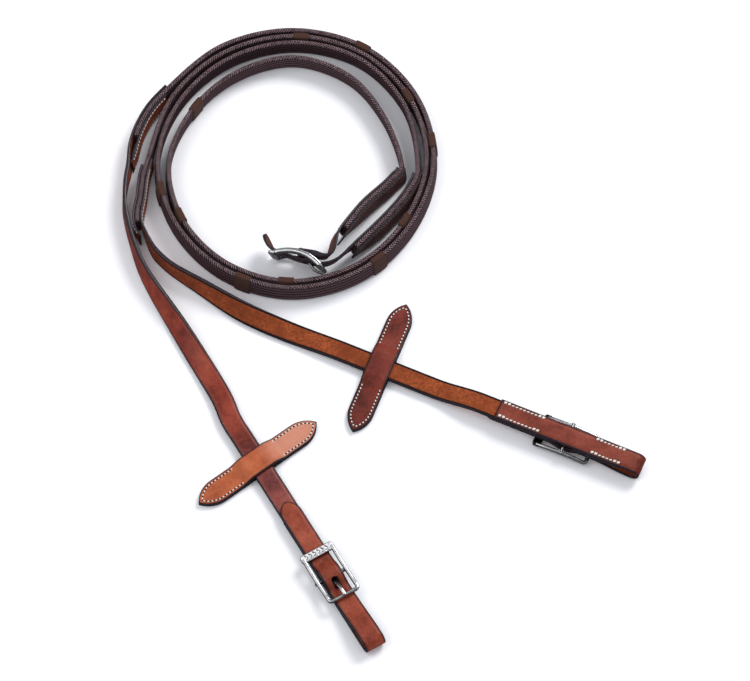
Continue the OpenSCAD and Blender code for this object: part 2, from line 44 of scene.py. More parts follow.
# ---------------------------------------------------------------- sizes, as in the CAD part
STRAP_W, STRAP_T, BILLET_T, SKIVE_T = 16.0, 3.0, 2.2, 1.8
WEB_W, WEB_T, WEB_LEAN, GAP = 16.4, 4.0, 5.0, 0.05
HAND_STOP_L, HAND_STOP_T, HAND_STOP_CLEAR = 12.0, 0.8, 0.1
HAND_COVER_T = 1.2
STOP_L, STOP_W, STOP_T, STOP_TIP = (107.0, 111.0), 19.0, 2.1, 17.0
STOP_CLEAR, STOP_SIDE_CLEAR, STOP_RAMP, STOP_TURN = 0.3, 1.35, 11.0, (7.0, 3.0)
BUCKLE_IN, RAIL_D, BAR_D = 20.5, 3.4, 3.0
BAR_TO_FRONT, BAR_TO_KEEPER, KEEPER_W = 19.0, 19.5, 6.0
TONGUE_W, TONGUE_T, TONGUE_CLEAR = 3.2, 2.0, 0.05
BAR_AT, LOOP_R, BACK_START, TIP_REACH = 62.0, 4.0, 55.0, 67.0
BIT_TIP, HAND_TIP = 11.0, 9.0
LOOP_REACH = (64.0, 59.0)
STITCH_PITCH, ROW_Y = 2.9, 5.9
CREASE_IN = 1.85    # pressed line, in from the edge of a strap
RIBS, WEB_R = 4, 1.5
RIB_SPAN = WEB_W - 2 * WEB_R
RIB_PITCH = RIB_SPAN / RIBS

EYE_R = BAR_D / 2 + 0.9
RAIL_Y = BUCKLE_IN / 2 + RAIL_D / 2 - 0.3
BACK_TOP = -EYE_R - 0.1
BACK_LOW = BACK_TOP - BILLET_T
STRAP_LOW = BACK_TOP + GAP
STRAP_MID = STRAP_LOW + STRAP_T / 2
TOP_LOW = STRAP_LOW + STRAP_T + GAP
RISE_OVER_BAR = BAR_D / 2 + 0.1 - STRAP_LOW
BIT_RISE = TOP_LOW + BILLET_T + 0.25 + RAIL_D / 2
HAND_RISE = 7.0
LEFT_BAR_Z = 0.3 - BACK_LOW
STRAP_REST = LEFT_BAR_Z + STRAP_LOW
RIGHT_BAR_Z = BIT_RISE + RAIL_D / 2 + TONGUE_T + 0.6
HAND_BAR_Z, HAND_LEAN = 15.9, 110.0
BESIDE_WEB = WEB_T / 2 + GAP + SKIVE_T / 2
STAND = WEB_W / 2 + HAND_STOP_CLEAR + HAND_STOP_T - STRAP_W / 2 + 0.05
TUNNEL = STRAP_W / 2 + STOP_SIDE_CLEAR

COIL, COIL_STRETCH = (-66.5, 137.5), 1.04
LEFT_LOOP, LEFT_DIR = (-4.0, -251.3), 120.5
RIGHT_LOOP, RIGHT_DIR = (193.0, -114.5), 156.1
HAND_BAR, HAND_DIR = (-58.5, 59.5), 162.0
STOP_S = (168.0, 211.5)

# Lengths along each rein, left and right, between which it turns from flat to its edge, and
# comes down from its bit end; then the lean it picks up before the web starts.
TURN_FROM, TURN_TO = (205.0, 250.0), (385.0, 400.0)
DOWN_FROM, DOWN_TO = (205.0, 240.0), (265.0, 290.0)
SPLICE_LEAN = 8.0
# The length from which the height comes from the hand buckle's side, and how far before the
# bar of that buckle the leather has taken its lean.
HAND_FROM, HAND_SET = 700.0, 28.0

# Radii of the coil every thirty degrees, clockwise from its left side; the left rein's list
# begins thirty degrees further on.
LEFT_RADII = (113.5, 112.3, 111.6, 111.1, 109, 106.4, 102.5, 102.2, 102.4, 100.6, 99.8,
              101, 99.7, 100.1, 101, 100.8, 97.4, 94.6)
RIGHT_RADII = (108.6, 106.4, 106.4, 106.4, 105.9, 103.7, 101.1, 97.2, 96.9, 97.2, 95.3, 93.8,
               92.6, 87.8, 87, 88.4, 84.3, 79.2, 82.1)


def sin(deg):
    return np.sin(np.radians(deg))


def cos(deg):
    return np.cos(np.radians(deg))


def ease(s, a, b):
    t = np.clip((np.asarray(s, float) - a) / (b - a), 0, 1)
    return t * t * (3 - 2 * t)


def unit(v):
    return v / np.maximum(np.linalg.norm(v, axis=-1, keepdims=True), 1e-9)


def spread(a, b, step):
    """Even places from a to b, at most step apart."""
    return np.linspace(a, b, max(int(math.ceil((b - a) / step)), 2) + 1)


def circle(n):
    """n angles evenly round a circle."""
    return np.linspace(0, 360, n, endpoint=False)


def lengths(pts):
    """Length along a line of points, at each of them."""
    return np.concatenate([[0], np.cumsum(np.linalg.norm(np.diff(pts, axis=0), axis=1))])


def lookup(q, s, pts):
    """The points, given at lengths s, at lengths q instead."""
    return np.stack([np.interp(q, s, pts[:, i]) for i in range(pts.shape[1])], -1)


# ---------------------------------------------------------------- the two laid down paths
def along(p, deg, d):
    """The place at distance d from p, in the direction deg."""
    return (p[0] + d * cos(deg), p[1] + d * sin(deg))


def coil_point(r, a):
    """A place on the coil; r is the radius at the web's foot, which leans inward."""
    m = r + WEB_W / 2 * sin(WEB_LEAN)
    return (COIL[0] - m * cos(a), COIL[1] + COIL_STRETCH * m * sin(a))


def hand_point(u, w):
    """A place by the hand buckle, u along the strap and w out of the buckle's plane."""
    out = w * sin(HAND_LEAN)
    return (HAND_BAR[0] + u * cos(HAND_DIR) - out * sin(HAND_DIR),
            HAND_BAR[1] + u * sin(HAND_DIR) + out * cos(HAND_DIR))


LEFT_KNOTS = (
    [along(LEFT_LOOP, LEFT_DIR, d) for d in (0, 62, 125, 185, 207)]
    + [(-119, -49.4), (-146.5, -2), (-174, 44), (-185.5, 74), (-191.5, 100), (-192, 120),
       (-188.6, 141), (-181.6, 170)]
    + [coil_point(r, 30 + 30 * i) for i, r in enumerate(LEFT_RADII)]
    + [(22.5, 114), (3, 86.5), (-15.5, 67.5), (-30, 55)]
    + [hand_point(u, w) for u, w in ((-17, 3.6), (-8, 4.6), (0, 5.1), (8, 4.7), (17, 3.8),
                                     (23, 2.2), (27.5, -2.6), (31.5, -8.6))])
RIGHT_KNOTS = (
    [along(RIGHT_LOOP, RIGHT_DIR, d) for d in (0, 62, 120, 170, 220, 255)]
    + [(-97.6, 13.5), (-132.8, 35.5), (-161.5, 56.5), (-180.5, 84), (-179.5, 110)]
    + [coil_point(r, 30 * i) for i, r in enumerate(RIGHT_RADII)]
    + [(9.6, 122.7), (-7.7, 103.7), (-20.1, 88.5), (-30, 75)]
    + [hand_point(u, w) for u, w in ((-20, -5.6), (-10, -2), (0, 0), (8, 1))])
FINE = 10


def catmull(p, fine=FINE):
    """A smooth curve through the points p, with `fine` steps between neighbours."""
    p = np.asarray(p, float)
    t = (np.arange(fine) / fine)[:, None]
    out = []
    for i in range(len(p) - 1):
        a, b, c, d = p[max(i - 1, 0)], p[i], p[i + 1], p[min(i + 2, len(p) - 1)]
        out.append(0.5 * (2 * b + (c - a) * t + (2 * a - 5 * b + 4 * c - d) * t ** 2
                          + (3 * b - a - 3 * c + d) * t ** 3))
    return np.vstack(out + [p[-1:]])


def over_bar(x):
    """Rise of the leather over a centre bar, at x along the strap from the bar."""
    return RISE_OVER_BAR * (1 - ease(np.abs(x), 2.2, 12))


class Rein:
    """One laid down half rein: where its middle is, and which way it faces, at a length s.

    k is 0 for the left rein and 1 for the right. The coil begins at knot `coil_knot`, at the
    angle `coil_from`.
    """

    def __init__(self, k, knots, bar_knot, coil_knot, coil_from):
        self.k, self.coil_knot, self.coil_from = k, coil_knot, coil_from
        self.xy = catmull(knots)
        self.len = lengths(self.xy)
        self.bar = self.at_knot(bar_knot)
        self.end = self.len[-1]

    def at_knot(self, i):
        return self.len[FINE * i]

    def at_angle(self, a):
        i = FINE * (self.coil_knot + (a - self.coil_from) / 30)
        return float(np.interp(i, np.arange(len(self.len)), self.len))

    def flat(self, s):
        return lookup(s, self.len, self.xy)

    def roll(self, s):
        """Degrees from lying flat, where 90 is standing on edge."""
        edge = (90 - WEB_LEAN) * ease(s, TURN_FROM[self.k], TURN_TO[self.k])
        splice = SPLICE_LEAN * ease(s, 400, 440) * (1 - ease(s, self.web_a + 30, self.web_a + 90))
        hand = (HAND_LEAN + WEB_LEAN - 90) * ease(s, self.bar - 75, self.bar - HAND_SET)
        return edge + splice + hand

    def height(self, s):
        """Height of the middle: on the floor, raised at the bit end and at the hand buckle."""
        s = np.asarray(s, float)
        r = self.roll(s)
        up = STRAP_W / 2 + STAND * ease(s, 420, 500)
        z = up * sin(r) + STRAP_T / 2 * cos(r)
        z = z + STRAP_REST * (1 - ease(s, DOWN_FROM[self.k], DOWN_TO[self.k]))
        if self.k == 0:
            z, drop = z + over_bar(s - BAR_AT), 4.6 * cos(HAND_LEAN)
        else:
            held_up = RIGHT_BAR_Z - STRAP_MID - STRAP_T / 2 - STRAP_REST
            z, drop = z + held_up * (1 - ease(s, 130, 168)) - over_bar(s - BAR_AT), 0.0
        hand = up + ease(s, self.bar - 120, self.bar - HAND_SET) * (HAND_BAR_Z - up + drop)
        return np.where(s > HAND_FROM, hand, z)

    def station(self, s):
        """Middle, along, across and out of the face, for an array of lengths."""
        s = np.asarray(s, float)
        d = unit(self.flat(s + 1) - self.flat(s - 1))
        r = self.roll(s)
        p = np.column_stack([self.flat(s), self.height(s)])
        slope = self.height(s + 0.5) - self.height(s - 0.5)
        t = unit(np.column_stack([d, slope]))
        across = np.column_stack([d[:, 1] * cos(r), -d[:, 0] * cos(r), sin(r)])
        across = unit(across - t * np.sum(across * t, 1, keepdims=True))
        return p, t, across, unit(np.cross(across, t))


LEFT = Rein(0, LEFT_KNOTS, bar_knot=37, coil_knot=13, coil_from=30)
RIGHT = Rein(1, RIGHT_KNOTS, bar_knot=36, coil_knot=11, coil_from=0)


def snap(s, step=6.0):
    return step * math.floor(s / step + 0.5)


LEFT.web_a, LEFT.web_b = snap(LEFT.at_knot(12) - 8), snap(LEFT.at_knot(33) + 4, 3)
RIGHT.web_a, RIGHT.web_b = snap(RIGHT.at_knot(10) - 22), snap(RIGHT.at_knot(33) - 4, 3)
LEFT.splice = snap(LEFT.at_knot(10) + 18), snap(LEFT.at_knot(13) + 10)
RIGHT.splice = snap(RIGHT.at_knot(9) - 10), snap(RIGHT.at_knot(11) + 4)
LEFT.hand, RIGHT.hand = snap(LEFT.at_knot(30) + 8), snap(RIGHT.at_knot(29) + 6)
LEFT.cover, RIGHT.cover = snap(LEFT.bar - 42, 3), snap(RIGHT.bar - 36, 3)


class Place:
    """A local frame: X towards the front bar, Y across the strap, Z out of the face."""

    def __init__(self, origin, x, y):
        self.o, self.x, self.y = np.array(origin, float), np.array(x, float), np.array(y, float)
        self.z = np.cross(self.x, self.y)

    def point(self, p):
        p = np.asarray(p, float)
        return self.o + p[..., :1] * self.x + p[..., 1:2] * self.y + p[..., 2:3] * self.z

    def turn(self, v):
        return self.point(v) - self.o


def flat_place(p, z, deg, up):
    x = (cos(deg), sin(deg), 0)
    return Place((p[0], p[1], z), x, (-x[1] * up, x[0] * up, 0))


LEFT_BIT = flat_place(along(LEFT_LOOP, LEFT_DIR, BAR_AT), LEFT_BAR_Z, LEFT_DIR - 180, 1)
RIGHT_BIT = flat_place(along(RIGHT_LOOP, RIGHT_DIR, BAR_AT), RIGHT_BAR_Z, RIGHT_DIR - 180, -1)
HX = HAND_DIR - 180
HAND = Place((*HAND_BAR, HAND_BAR_Z), (cos(HX), sin(HX), 0),
             (-sin(HX) * cos(HAND_LEAN), cos(HX) * cos(HAND_LEAN), sin(HAND_LEAN)))
LEFT_STOP = flat_place(along(LEFT_LOOP, LEFT_DIR, STOP_S[0]), 0, LEFT_DIR - 90 + STOP_TURN[0], 1)
RIGHT_STOP = flat_place(along(RIGHT_LOOP, RIGHT_DIR, STOP_S[1]), 0,
                        RIGHT_DIR - 90 + STOP_TURN[1], 1)


# ---------------------------------------------------------------- meshes
def link(name, data):
    """A new object in the scene."""
    obj = bpy.data.objects.new(name, data)
    bpy.context.scene.collection.objects.link(obj)
    return obj


def make(name, verts, faces, mats, face_mats=None, attrs=None, sharp=50):
    """A mesh object from millimetre points, turned right side out."""
    mesh = bpy.data.meshes.new(name)
    mesh.from_pydata([tuple(v) for v in np.asarray(verts) * MM], [], [tuple(f) for f in faces])
    for m in mats:
        mesh.materials.append(m)
    if face_mats is not None:
        mesh.polygons.foreach_set("material_index", np.asarray(face_mats, np.int32))
    for key, values in (attrs or {}).items():
        mesh.attributes.new(key, "FLOAT", "POINT").data.foreach_set(
            "value", np.asarray(values, np.float32))
    bm = bmesh.new()
    bm.from_mesh(mesh)
    bmesh.ops.recalc_face_normals(bm, faces=bm.faces)
    bm.to_mesh(mesh)
    bm.free()
    mesh.polygons.foreach_set("use_smooth", [True] * len(mesh.polygons))
    mesh.set_sharp_from_angle(angle=math.radians(sharp))
    return link(name, mesh)


def bands(count, m, first=0):
    """Quads between `count` rings of m points each, numbered from `first`."""
    return [tuple(first + q for q in (a + j, a + (j + 1) % m, a + m + (j + 1) % m, a + m + j))
            for a in range(0, (count - 1) * m, m) for j in range(m)]


def loft(rings, closed=False):
    """Faces between rings of m points each, and a fan on both ends of an open run."""
    n, m = len(rings), len(rings[0])
    verts, faces, tags = np.vstack(rings), bands(n, m), list(range(m)) * (n - 1)
    last = (n - 1) * m
    for j in range(m):
        k = (j + 1) % m
        if closed:
            faces.append((last + j, last + k, k, j))
            tags.append(j)
        else:
            faces += [(j, k, n * m), (last + j, last + k, n * m + 1)]
            tags += [-1, -1]
    if not closed:
        verts = np.vstack([verts, verts[:m].mean(0), verts[-m:].mean(0)])
    return verts, faces, tags


def ring(p, y, across, z, out):
    """The points of a section, y across and z out of the middle p."""
    return p + np.multiply.outer(y, across) + np.multiply.outer(z, out)


def capped(values, first=0.0, last=0.0):
    """Point values of an open loft, with those of its two end points added."""
    return np.concatenate([values, [first, last]])


def strap_profile(crease):
    """Section of a leather strap as (side, inset from the edge, height share, groove)."""
    r, arc = 0.75, (60, 30, 0, -30, -60)
    groove = 0.35
    insets = (r, CREASE_IN - groove, CREASE_IN, CREASE_IN + groove, 4.4)
    face = [(1, v) for v in insets] + [(0, 99)] + [(-1, v) for v in reversed(insets)]
    top = [(side, inset, 1.0, crease if inset == CREASE_IN else 0) for side, inset in face]
    left = [(-1, r - r * cos(a), sin(a), 0) for a in arc]
    low = [(side, inset, -1.0, 0) for side, inset in reversed(face)]
    right = [(1, r - r * cos(a), sin(a), 0) for a in reversed(arc)]
    return top + left + low + right, len(top)


def strap(name, p, across, out, w, t, mats, s, crease=0.16, off=0.0):
    """A leather strap: mats are the face, the back and the inked edge."""
    n = len(p)
    w, t, off = (np.broadcast_to(np.asarray(v, float), n) for v in (w, t, off))
    prof, n_top = strap_profile(crease)
    rings, ys = [], []
    for i in range(n):
        y = np.array([side * max(w[i] / 2 - inset, w[i] / 2 * max(1 - inset / 9, 0))
                      for side, inset, _, _ in prof])
        z = np.array([share * t[i] / 2 - cut for _, _, share, cut in prof])
        rings.append(ring(p[i], y, across[i], z + off[i], out[i]))
        ys.append(y)
    verts, faces, tags = loft(rings)
    m = len(prof)
    edge_n = (m - 2 * n_top) // 2
    kind = [2 if j < 0 else 0 if j < n_top - 1 else 2 if j < n_top + edge_n
            else 1 if j < 2 * n_top + edge_n - 1 else 2 for j in tags]
    from_end = np.repeat(np.minimum(s - s[0], s[-1] - s), m)
    sy = np.concatenate(ys)
    half = np.minimum(np.repeat(w / 2, m), from_end + np.abs(sy))
    attrs = {"sx": capped(np.repeat(s, m), s[0], s[-1]), "sy": capped(sy), "half": capped(half)}
    return make(name, verts, faces, mats, kind, attrs, sharp=40)


def path_frames(pts, place):
    """Frames along a path drawn in a local X-Z plane: out is to the left of travel."""
    d = unit(np.gradient(pts, axis=0))
    p = place.point(np.column_stack([pts[:, 0], np.zeros(len(pts)), pts[:, 1]]))
    out = place.turn(np.column_stack([-d[:, 1], np.zeros(len(pts)), d[:, 0]]))
    across = np.broadcast_to(place.y, p.shape)
    return p, across, out


def resample(pts, step):
    """The same line with its points evenly spaced, at most step apart."""
    s = lengths(pts)
    return lookup(spread(0, s[-1], step), s, pts)


def point_half(d, w, tip):
    """Half width of a pointed strap end at distance d from its tip."""
    r = (tip * tip + w * w / 4) / w
    d = np.asarray(d, float)
    arc = np.sqrt(np.maximum(r * r - np.maximum(tip - d, 0) ** 2, 0)) - (r - w / 2)
    return np.clip(np.where(d < tip, arc, w / 2), 0.25, w / 2)


def tip_spread(a, b, tip, step):
    """Places from a to b, crowded within `tip` of b so that a point comes out round."""
    near = b - tip * (1 - np.linspace(0, 1, 17)) ** 1.6
    return np.concatenate([np.arange(a, b - tip, step), near])


def tube(name, path, radius, mats, sides, up):
    """A round bar along a 3-D path that does not run along up."""
    d = unit(np.gradient(path, axis=0))
    side = unit(np.cross(d, up))
    top = unit(np.cross(side, d))
    radius = np.broadcast_to(np.asarray(radius, float), len(path))
    a = circle(sides)
    rings = [ring(p, r * cos(a), q, r * sin(a), t) for p, r, q, t in zip(path, radius, side, top)]
    verts, faces, _ = loft(rings)
    return make(name, verts, faces, mats, sharp=60)


def join(name, objs):
    """One object out of several, all of them with the same point attributes."""
    bm = bmesh.new()
    mats = []
    keys = sorted({a.name for o in objs for a in o.data.attributes if a.data_type == "FLOAT"})
    for o in objs:
        for key in keys:
            if key not in o.data.attributes:
                o.data.attributes.new(key, "FLOAT", "POINT")
        for m in o.data.materials:
            if m not in mats:
                mats.append(m)
    for o in objs:
        table = [mats.index(m) for m in o.data.materials]
        first = len(bm.faces)
        bm.from_mesh(o.data)
        bm.faces.ensure_lookup_table()
        for f in bm.faces[first:]:
            f.material_index = table[f.material_index]
    mesh = bpy.data.meshes.new(name)
    bm.to_mesh(mesh)
    bm.free()
    for m in mats:
        mesh.materials.append(m)
    for o in objs:
        old = o.data
        bpy.data.objects.remove(o)
        bpy.data.meshes.remove(old)
    return link(name, mesh)


def cut(obj, cutter):
    """Cuts one closed mesh out of another, for good."""
    mod = obj.modifiers.new("cut", "BOOLEAN")
    mod.operation, mod.object, mod.solver = "DIFFERENCE", cutter, "EXACT"
    bpy.context.view_layer.update()
    deps = bpy.context.evaluated_depsgraph_get()
    mesh = bpy.data.meshes.new_from_object(obj.evaluated_get(deps))
    old = obj.data
    obj.modifiers.clear()
    obj.data = mesh
    mesh.name = old.name
    bpy.data.meshes.remove(old)
    tool = cutter.data
    bpy.data.objects.remove(cutter)
    bpy.data.meshes.remove(tool)
    return obj


def put(obj, body, node):
    """Ties an object to its body, in place of a node of the CAD part."""
    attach(obj, body)
    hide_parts(node)


# ---------------------------------------------------------------- materials
class Wire:
    """The output of a shader node, with arithmetic that adds further nodes."""

    def __init__(self, nodes, socket):
        self.nodes, self.socket = nodes, socket

    def __add__(self, b):
        return self.nodes.math("ADD", self, b)

    def __sub__(self, b):
        return self.nodes.math("SUBTRACT", self, b)

    def __rsub__(self, a):
        return self.nodes.math("SUBTRACT", a, self)

    def __mul__(self, b):
        return self.nodes.math("MULTIPLY", self, b)

    def __truediv__(self, b):
        return self.nodes.math("DIVIDE", self, b)

    def __abs__(self):
        return self.nodes.math("ABSOLUTE", self)

    def zigzag(self):
        """0 at whole numbers and 0.5 halfway between them, with straight lines from one to
        the other."""
        return self.nodes.math("PINGPONG", self, 0.5)


class Nodes:
    """Short names for the shader nodes used here, in one node tree."""

    def __init__(self, tree):
        self.tree = tree

    def put(self, socket, value):
        """Sets an input, or links an output to it. None leaves it alone."""
        if isinstance(value, Wire):
            self.tree.links.new(value.socket, socket)
        elif value is not None:
            socket.default_value = value

    def node(self, kind, inputs=(), out=0, **settings):
        """A new node; gives back its output `out`."""
        n = self.tree.nodes.new("ShaderNode" + kind)
        for key, v in settings.items():
            setattr(n, key, v)
        for key, v in dict(inputs).items():
            self.put(n.inputs[key], v)
        return Wire(self, n.outputs[out])

    def math(self, op, *values):
        return self.node("Math", enumerate(values), operation=op)

    def ramp(self, fac, *stops):
        """A ramp through (place, colour or grey value) stops."""
        n = self.tree.nodes.new("ShaderNodeValToRGB")
        self.put(n.inputs[0], fac)
        while len(n.color_ramp.elements) < len(stops):
            n.color_ramp.elements.new(0.5)
        for e, (pos, col) in zip(n.color_ramp.elements, stops):
            e.position = pos
            e.color = (*col, 1.0) if isinstance(col, tuple) else (col, col, col, 1.0)
        return Wire(self, n.outputs["Color"])

    def mix(self, fac, a, b, mode="MIX"):
        n = self.tree.nodes.new("ShaderNodeMix")
        n.data_type, n.blend_type = "RGBA", mode
        self.put(n.inputs["Factor"], fac)
        for key, v in (("A", a), ("B", b)):
            socket = [i for i in n.inputs if i.name == key and i.type == "RGBA"][0]
            self.put(socket, (*v, 1.0) if isinstance(v, tuple) else v)
        return Wire(self, [o for o in n.outputs if o.type == "RGBA"][0])


class Shader(Nodes):
    """A procedural material, built from nodes.

    Meshes carry the point values it reads, all in millimetres: sx along the piece, sy across it,
    sz through it and half, which is the value of sy at the nearest edge.
    """

    def __init__(self, name, metal=0.0):
        self.mat = bpy.data.materials.new(name)
        self.mat.use_nodes = True
        super().__init__(self.mat.node_tree)
        self.bsdf = self.tree.nodes["Principled BSDF"]
        self.bsdf.inputs["Metallic"].default_value = metal
        self.coords = self.node("TexCoord", out="Object")
        self.normal = None

    def attr(self, name):
        return self.node("Attribute", out="Fac", attribute_name=name)

    def inset(self):
        """Distance in from the nearest edge of a strap."""
        return self.attr("half") - abs(self.attr("sy"))

    def noise(self, scale, detail=4.0, rough=0.55, vector=None, distort=0.0):
        return self.node("TexNoise", {"Vector": vector or self.coords, "Scale": scale,
                                      "Detail": detail, "Roughness": rough,
                                      "Distortion": distort}, "Fac")

    def cells(self, scale, feature="F1"):
        return self.node("TexVoronoi", {"Vector": self.coords, "Scale": scale}, "Distance",
                         feature=feature)

    def along(self, x, y):
        """A place on the strap, for a noise that follows it: x of sx, and y of sy."""
        return self.node("CombineXYZ", {0: self.attr("sx") * x, 1: self.attr("sy") * y})

    def rim(self, inset, solid, clear):
        """1 within `solid` of the edge, fading to 0 at `clear`."""
        keys = ("Value", "From Min", "From Max", "To Min", "To Max")
        return self.node("MapRange", zip(keys, (inset, solid, clear, 1.0, 0.0)))

    def line(self, value, at, width):
        """1 where value is `at`, fading to 0 at `width` to either side."""
        return 1.0 - self.math("MINIMUM", abs(value - at) / width, 1.0)

    def bump(self, height, mm, strength=1.0):
        self.normal = self.node("Bump", {"Height": height, "Distance": mm * MM,
                                         "Strength": strength, "Normal": self.normal})

    def done(self, color, rough, **extra):
        extra.update(Base_Color=color, Roughness=rough, Normal=self.normal)
        for key, v in extra.items():
            self.put(self.bsdf.inputs[key.replace("_", " ")], v)
        return self.mat


INK_BLACK = (0.006, 0.004, 0.005)


def grain_leather(name, light, mid, dark, rough=0.42, gloss=0.15, highlight_tint=None, far=None):
    """Polished leather: fine grain, cloudy colour, scuffs, and a dark crease by the edges, partly
    its own pressed line and partly painted shade, with a painted highlight just inside it.

    bloom is the colour of a painted highlight over one half, crossed by darker lines, and far
    tints a strap past its stop.
    """
    m = Shader(name)
    cloud = m.noise(38.0, 5.0, 0.6)
    color = m.ramp(cloud, (0.34, dark), (0.5, mid), (0.66, light))
    veins = m.ramp(abs(m.noise(75.0, 3.0, 0.6, distort=1.2) - 0.5), (0.0, 1.0), (0.05, 0.0))
    color = m.mix(veins * 0.3, color, light)
    fibre = m.ramp(m.noise(380.0, 4.0, 0.65), (0.42, 0.0), (0.6, 1.0))
    color = m.mix(fibre * 0.3, color, dark)
    pore = m.ramp(m.cells(1500.0), (0.0, 1.0), (0.35, 0.0))
    color = m.mix(pore * 0.18, color, dark)
    # Painted highlight: one half of the piece made paler, with darker lines across it.
    if highlight_tint:
        lines = m.ramp((m.attr("sy") / 2.6 + m.noise(24.0) * 1.5).zigzag(), (0.0, 0.35),
                       (0.1, 0.0))
        highlight_mask = m.ramp(m.attr("sx") / 50.0, (0.06, 0.0), (0.4, 0.62)) * (cloud * 0.4 + 0.8)
        color = m.mix(highlight_mask, color, m.mix(lines, highlight_tint, dark))
    if far:
        past_stop = m.ramp(m.attr("sx") / 400.0, (0.40, 0.0), (0.47, 1.0))
        color = m.mix(past_stop, color, far, "MULTIPLY")
    inset = m.inset()
    # Crease: partly its own darker pressed line, partly painted shade; beside it a painted
    # highlight.
    color = m.mix(m.line(inset, CREASE_IN, 0.4) * 0.75, color, dark)
    color = m.mix(m.line(inset, CREASE_IN + 0.75, 0.45) * 0.4, color, light)
    color = m.mix(m.rim(inset, 0.95, 1.25), color, INK_BLACK)
    scuff = m.noise(900.0, 2.0, 0.5, m.along(0.0006, 0.004))
    r = m.noise(160.0, 4.0) * 0.26 + (rough - 0.12) - scuff * 0.06
    m.bump(m.noise(240.0, 6.0, 0.65), 0.10, 0.7)
    m.bump(m.cells(1100.0, "SMOOTH_F1"), 0.06, 0.8)
    m.bump(m.noise(2600.0, 2.0), 0.025, 0.8)
    return m.done(color, r, Specular_IOR_Level=gloss)


def flesh_leather(name, light, mid, dark, rim=0.9):
    """The back of the strap: napped, dry and uneven."""
    m = Shader(name)
    nap = m.noise(1400.0, 4.0, 0.75)
    streak = m.noise(1.0, 3.0, 0.6, m.along(0.22, 1.6))
    color = m.ramp(m.noise(55.0, 6.0, 0.65), (0.36, dark), (0.5, mid), (0.66, light))
    color = m.mix(m.ramp(m.noise(480.0, 4.0, 0.7), (0.42, 0.85), (0.58, 0.0)), color, dark)
    color = m.mix(nap * 0.3, color, light)
    color = m.mix(streak * 0.25, color, light)
    ragged = m.inset() + m.noise(600.0) * -0.5
    color = m.mix(m.rim(ragged, rim, rim + 0.3), color, (0.006, 0.005, 0.006))
    m.bump(nap, 0.16, 0.9)
    m.bump(m.noise(330.0, 5.0, 0.7), 0.3, 0.8)
    return m.done(color, 0.88, Sheen_Weight=0.03, Specular_IOR_Level=0.12)


def ink(name):
    """Burnished, inked strap edge, with the layers of the leather just showing."""
    m = Shader(name)
    layers = m.noise(1.0, 3.0, 0.6, m.along(0.35, 0.8))
    color = m.mix(layers, (0.009, 0.006, 0.009), (0.034, 0.023, 0.032))
    m.bump(m.noise(700.0, 4.0, 0.6), 0.08, 0.8)
    return m.done(color, m.noise(300.0) * 0.2 + 0.18, Specular_IOR_Level=0.3)


def knit_web(name):
    """Ribbed web: a herringbone knit over its edges, lengthwise ribs on its faces, with painted
    light and shade over the knit and painted shade in the grooves between the ribs.
    """
    m = Shader(name)
    sx, sy = m.attr("sx"), m.attr("sy")
    on_edge = m.ramp(abs(sy) - (WEB_W / 2 - 1.7), (0.0, 0.0), (0.4, 1.0))
    slant = abs(m.attr("sz")) * 0.55 + m.noise(330.0, 2.0, 0.5) * 0.9
    knit = (sx / 2.0 + slant).zigzag()
    phase = ((sy + RIB_SPAN / 2) / RIB_PITCH).zigzag()
    groove = m.ramp(phase, (0.14, 1.0), (0.32, 0.0))
    loops = (sx / 1.9 + phase * 0.9).zigzag()
    fuzz = m.noise(1500.0, 3.0, 0.7)
    # Over the edges: painted highlights on the knit's loops, painted shade between them.
    lit = knit * 2.0 * (m.noise(420.0, 3.0, 0.6) + 0.5)
    shade = m.ramp(lit, (0.34, (0.005, 0.002, 0.0035)), (0.6, (0.046, 0.025, 0.031)),
                   (0.95, (0.38, 0.27, 0.29)))
    # On the faces: loops a little lighter on top and darker between, painted light and shade.
    face = m.ramp(loops * 2.0, (0.1, (0.078, 0.042, 0.052)), (0.9, (0.118, 0.068, 0.080)))
    # Painted shade: the grooves between the ribs turned near black.
    face = m.mix(groove * 0.96, face, (0.002, 0.001, 0.0015))
    color = m.mix(on_edge, face, shade)
    color = m.mix(m.noise(60.0, 4.0, 0.6) * 0.2, color, (0.060, 0.026, 0.024))
    color = m.mix(fuzz * 0.1, color, (0.14, 0.09, 0.09))
    m.bump(knit * on_edge + loops * 0.35, 0.7)
    m.bump(fuzz, 0.12, 0.8)
    return m.done(color, 0.8, Specular_IOR_Level=0.15)


def tape(name):
    """Close woven tape of the hand stops, dull brown, with painted shade in the hollows of its
    weave.
    """
    m = Shader(name)
    weave = (m.attr("sy") * 1.4).zigzag() + (m.attr("sx") * 1.7).zigzag()
    fuzz = m.noise(1300.0, 4.0, 0.7)
    # Painted shade: darker in the hollows of the weave.
    color = m.ramp(weave, (0.15, (0.016, 0.007, 0.005)), (0.9, (0.095, 0.042, 0.030)))
    color = m.mix(fuzz * 0.25, color, (0.12, 0.055, 0.04))
    m.bump(weave, 0.2, 0.9)
    m.bump(fuzz, 0.15, 0.8)
    return m.done(color, 0.9, Sheen_Weight=0.04, Specular_IOR_Level=0.15)


def thread(name, light, dark):
    """Waxed, twisted thread, with painted shade along the grooves of its twist."""
    m = Shader(name)
    twist = (m.attr("sx") * 1.6 + m.attr("sy") * 1.2).zigzag()
    m.bump(twist, 0.18, 0.9)
    m.bump(m.noise(2500.0, 2.0), 0.04, 0.7)
    # Painted shade: darker along the grooves of the twist.
    return m.done(m.mix(twist * 1.2, dark, light), 0.55, Sheen_Weight=0.2)


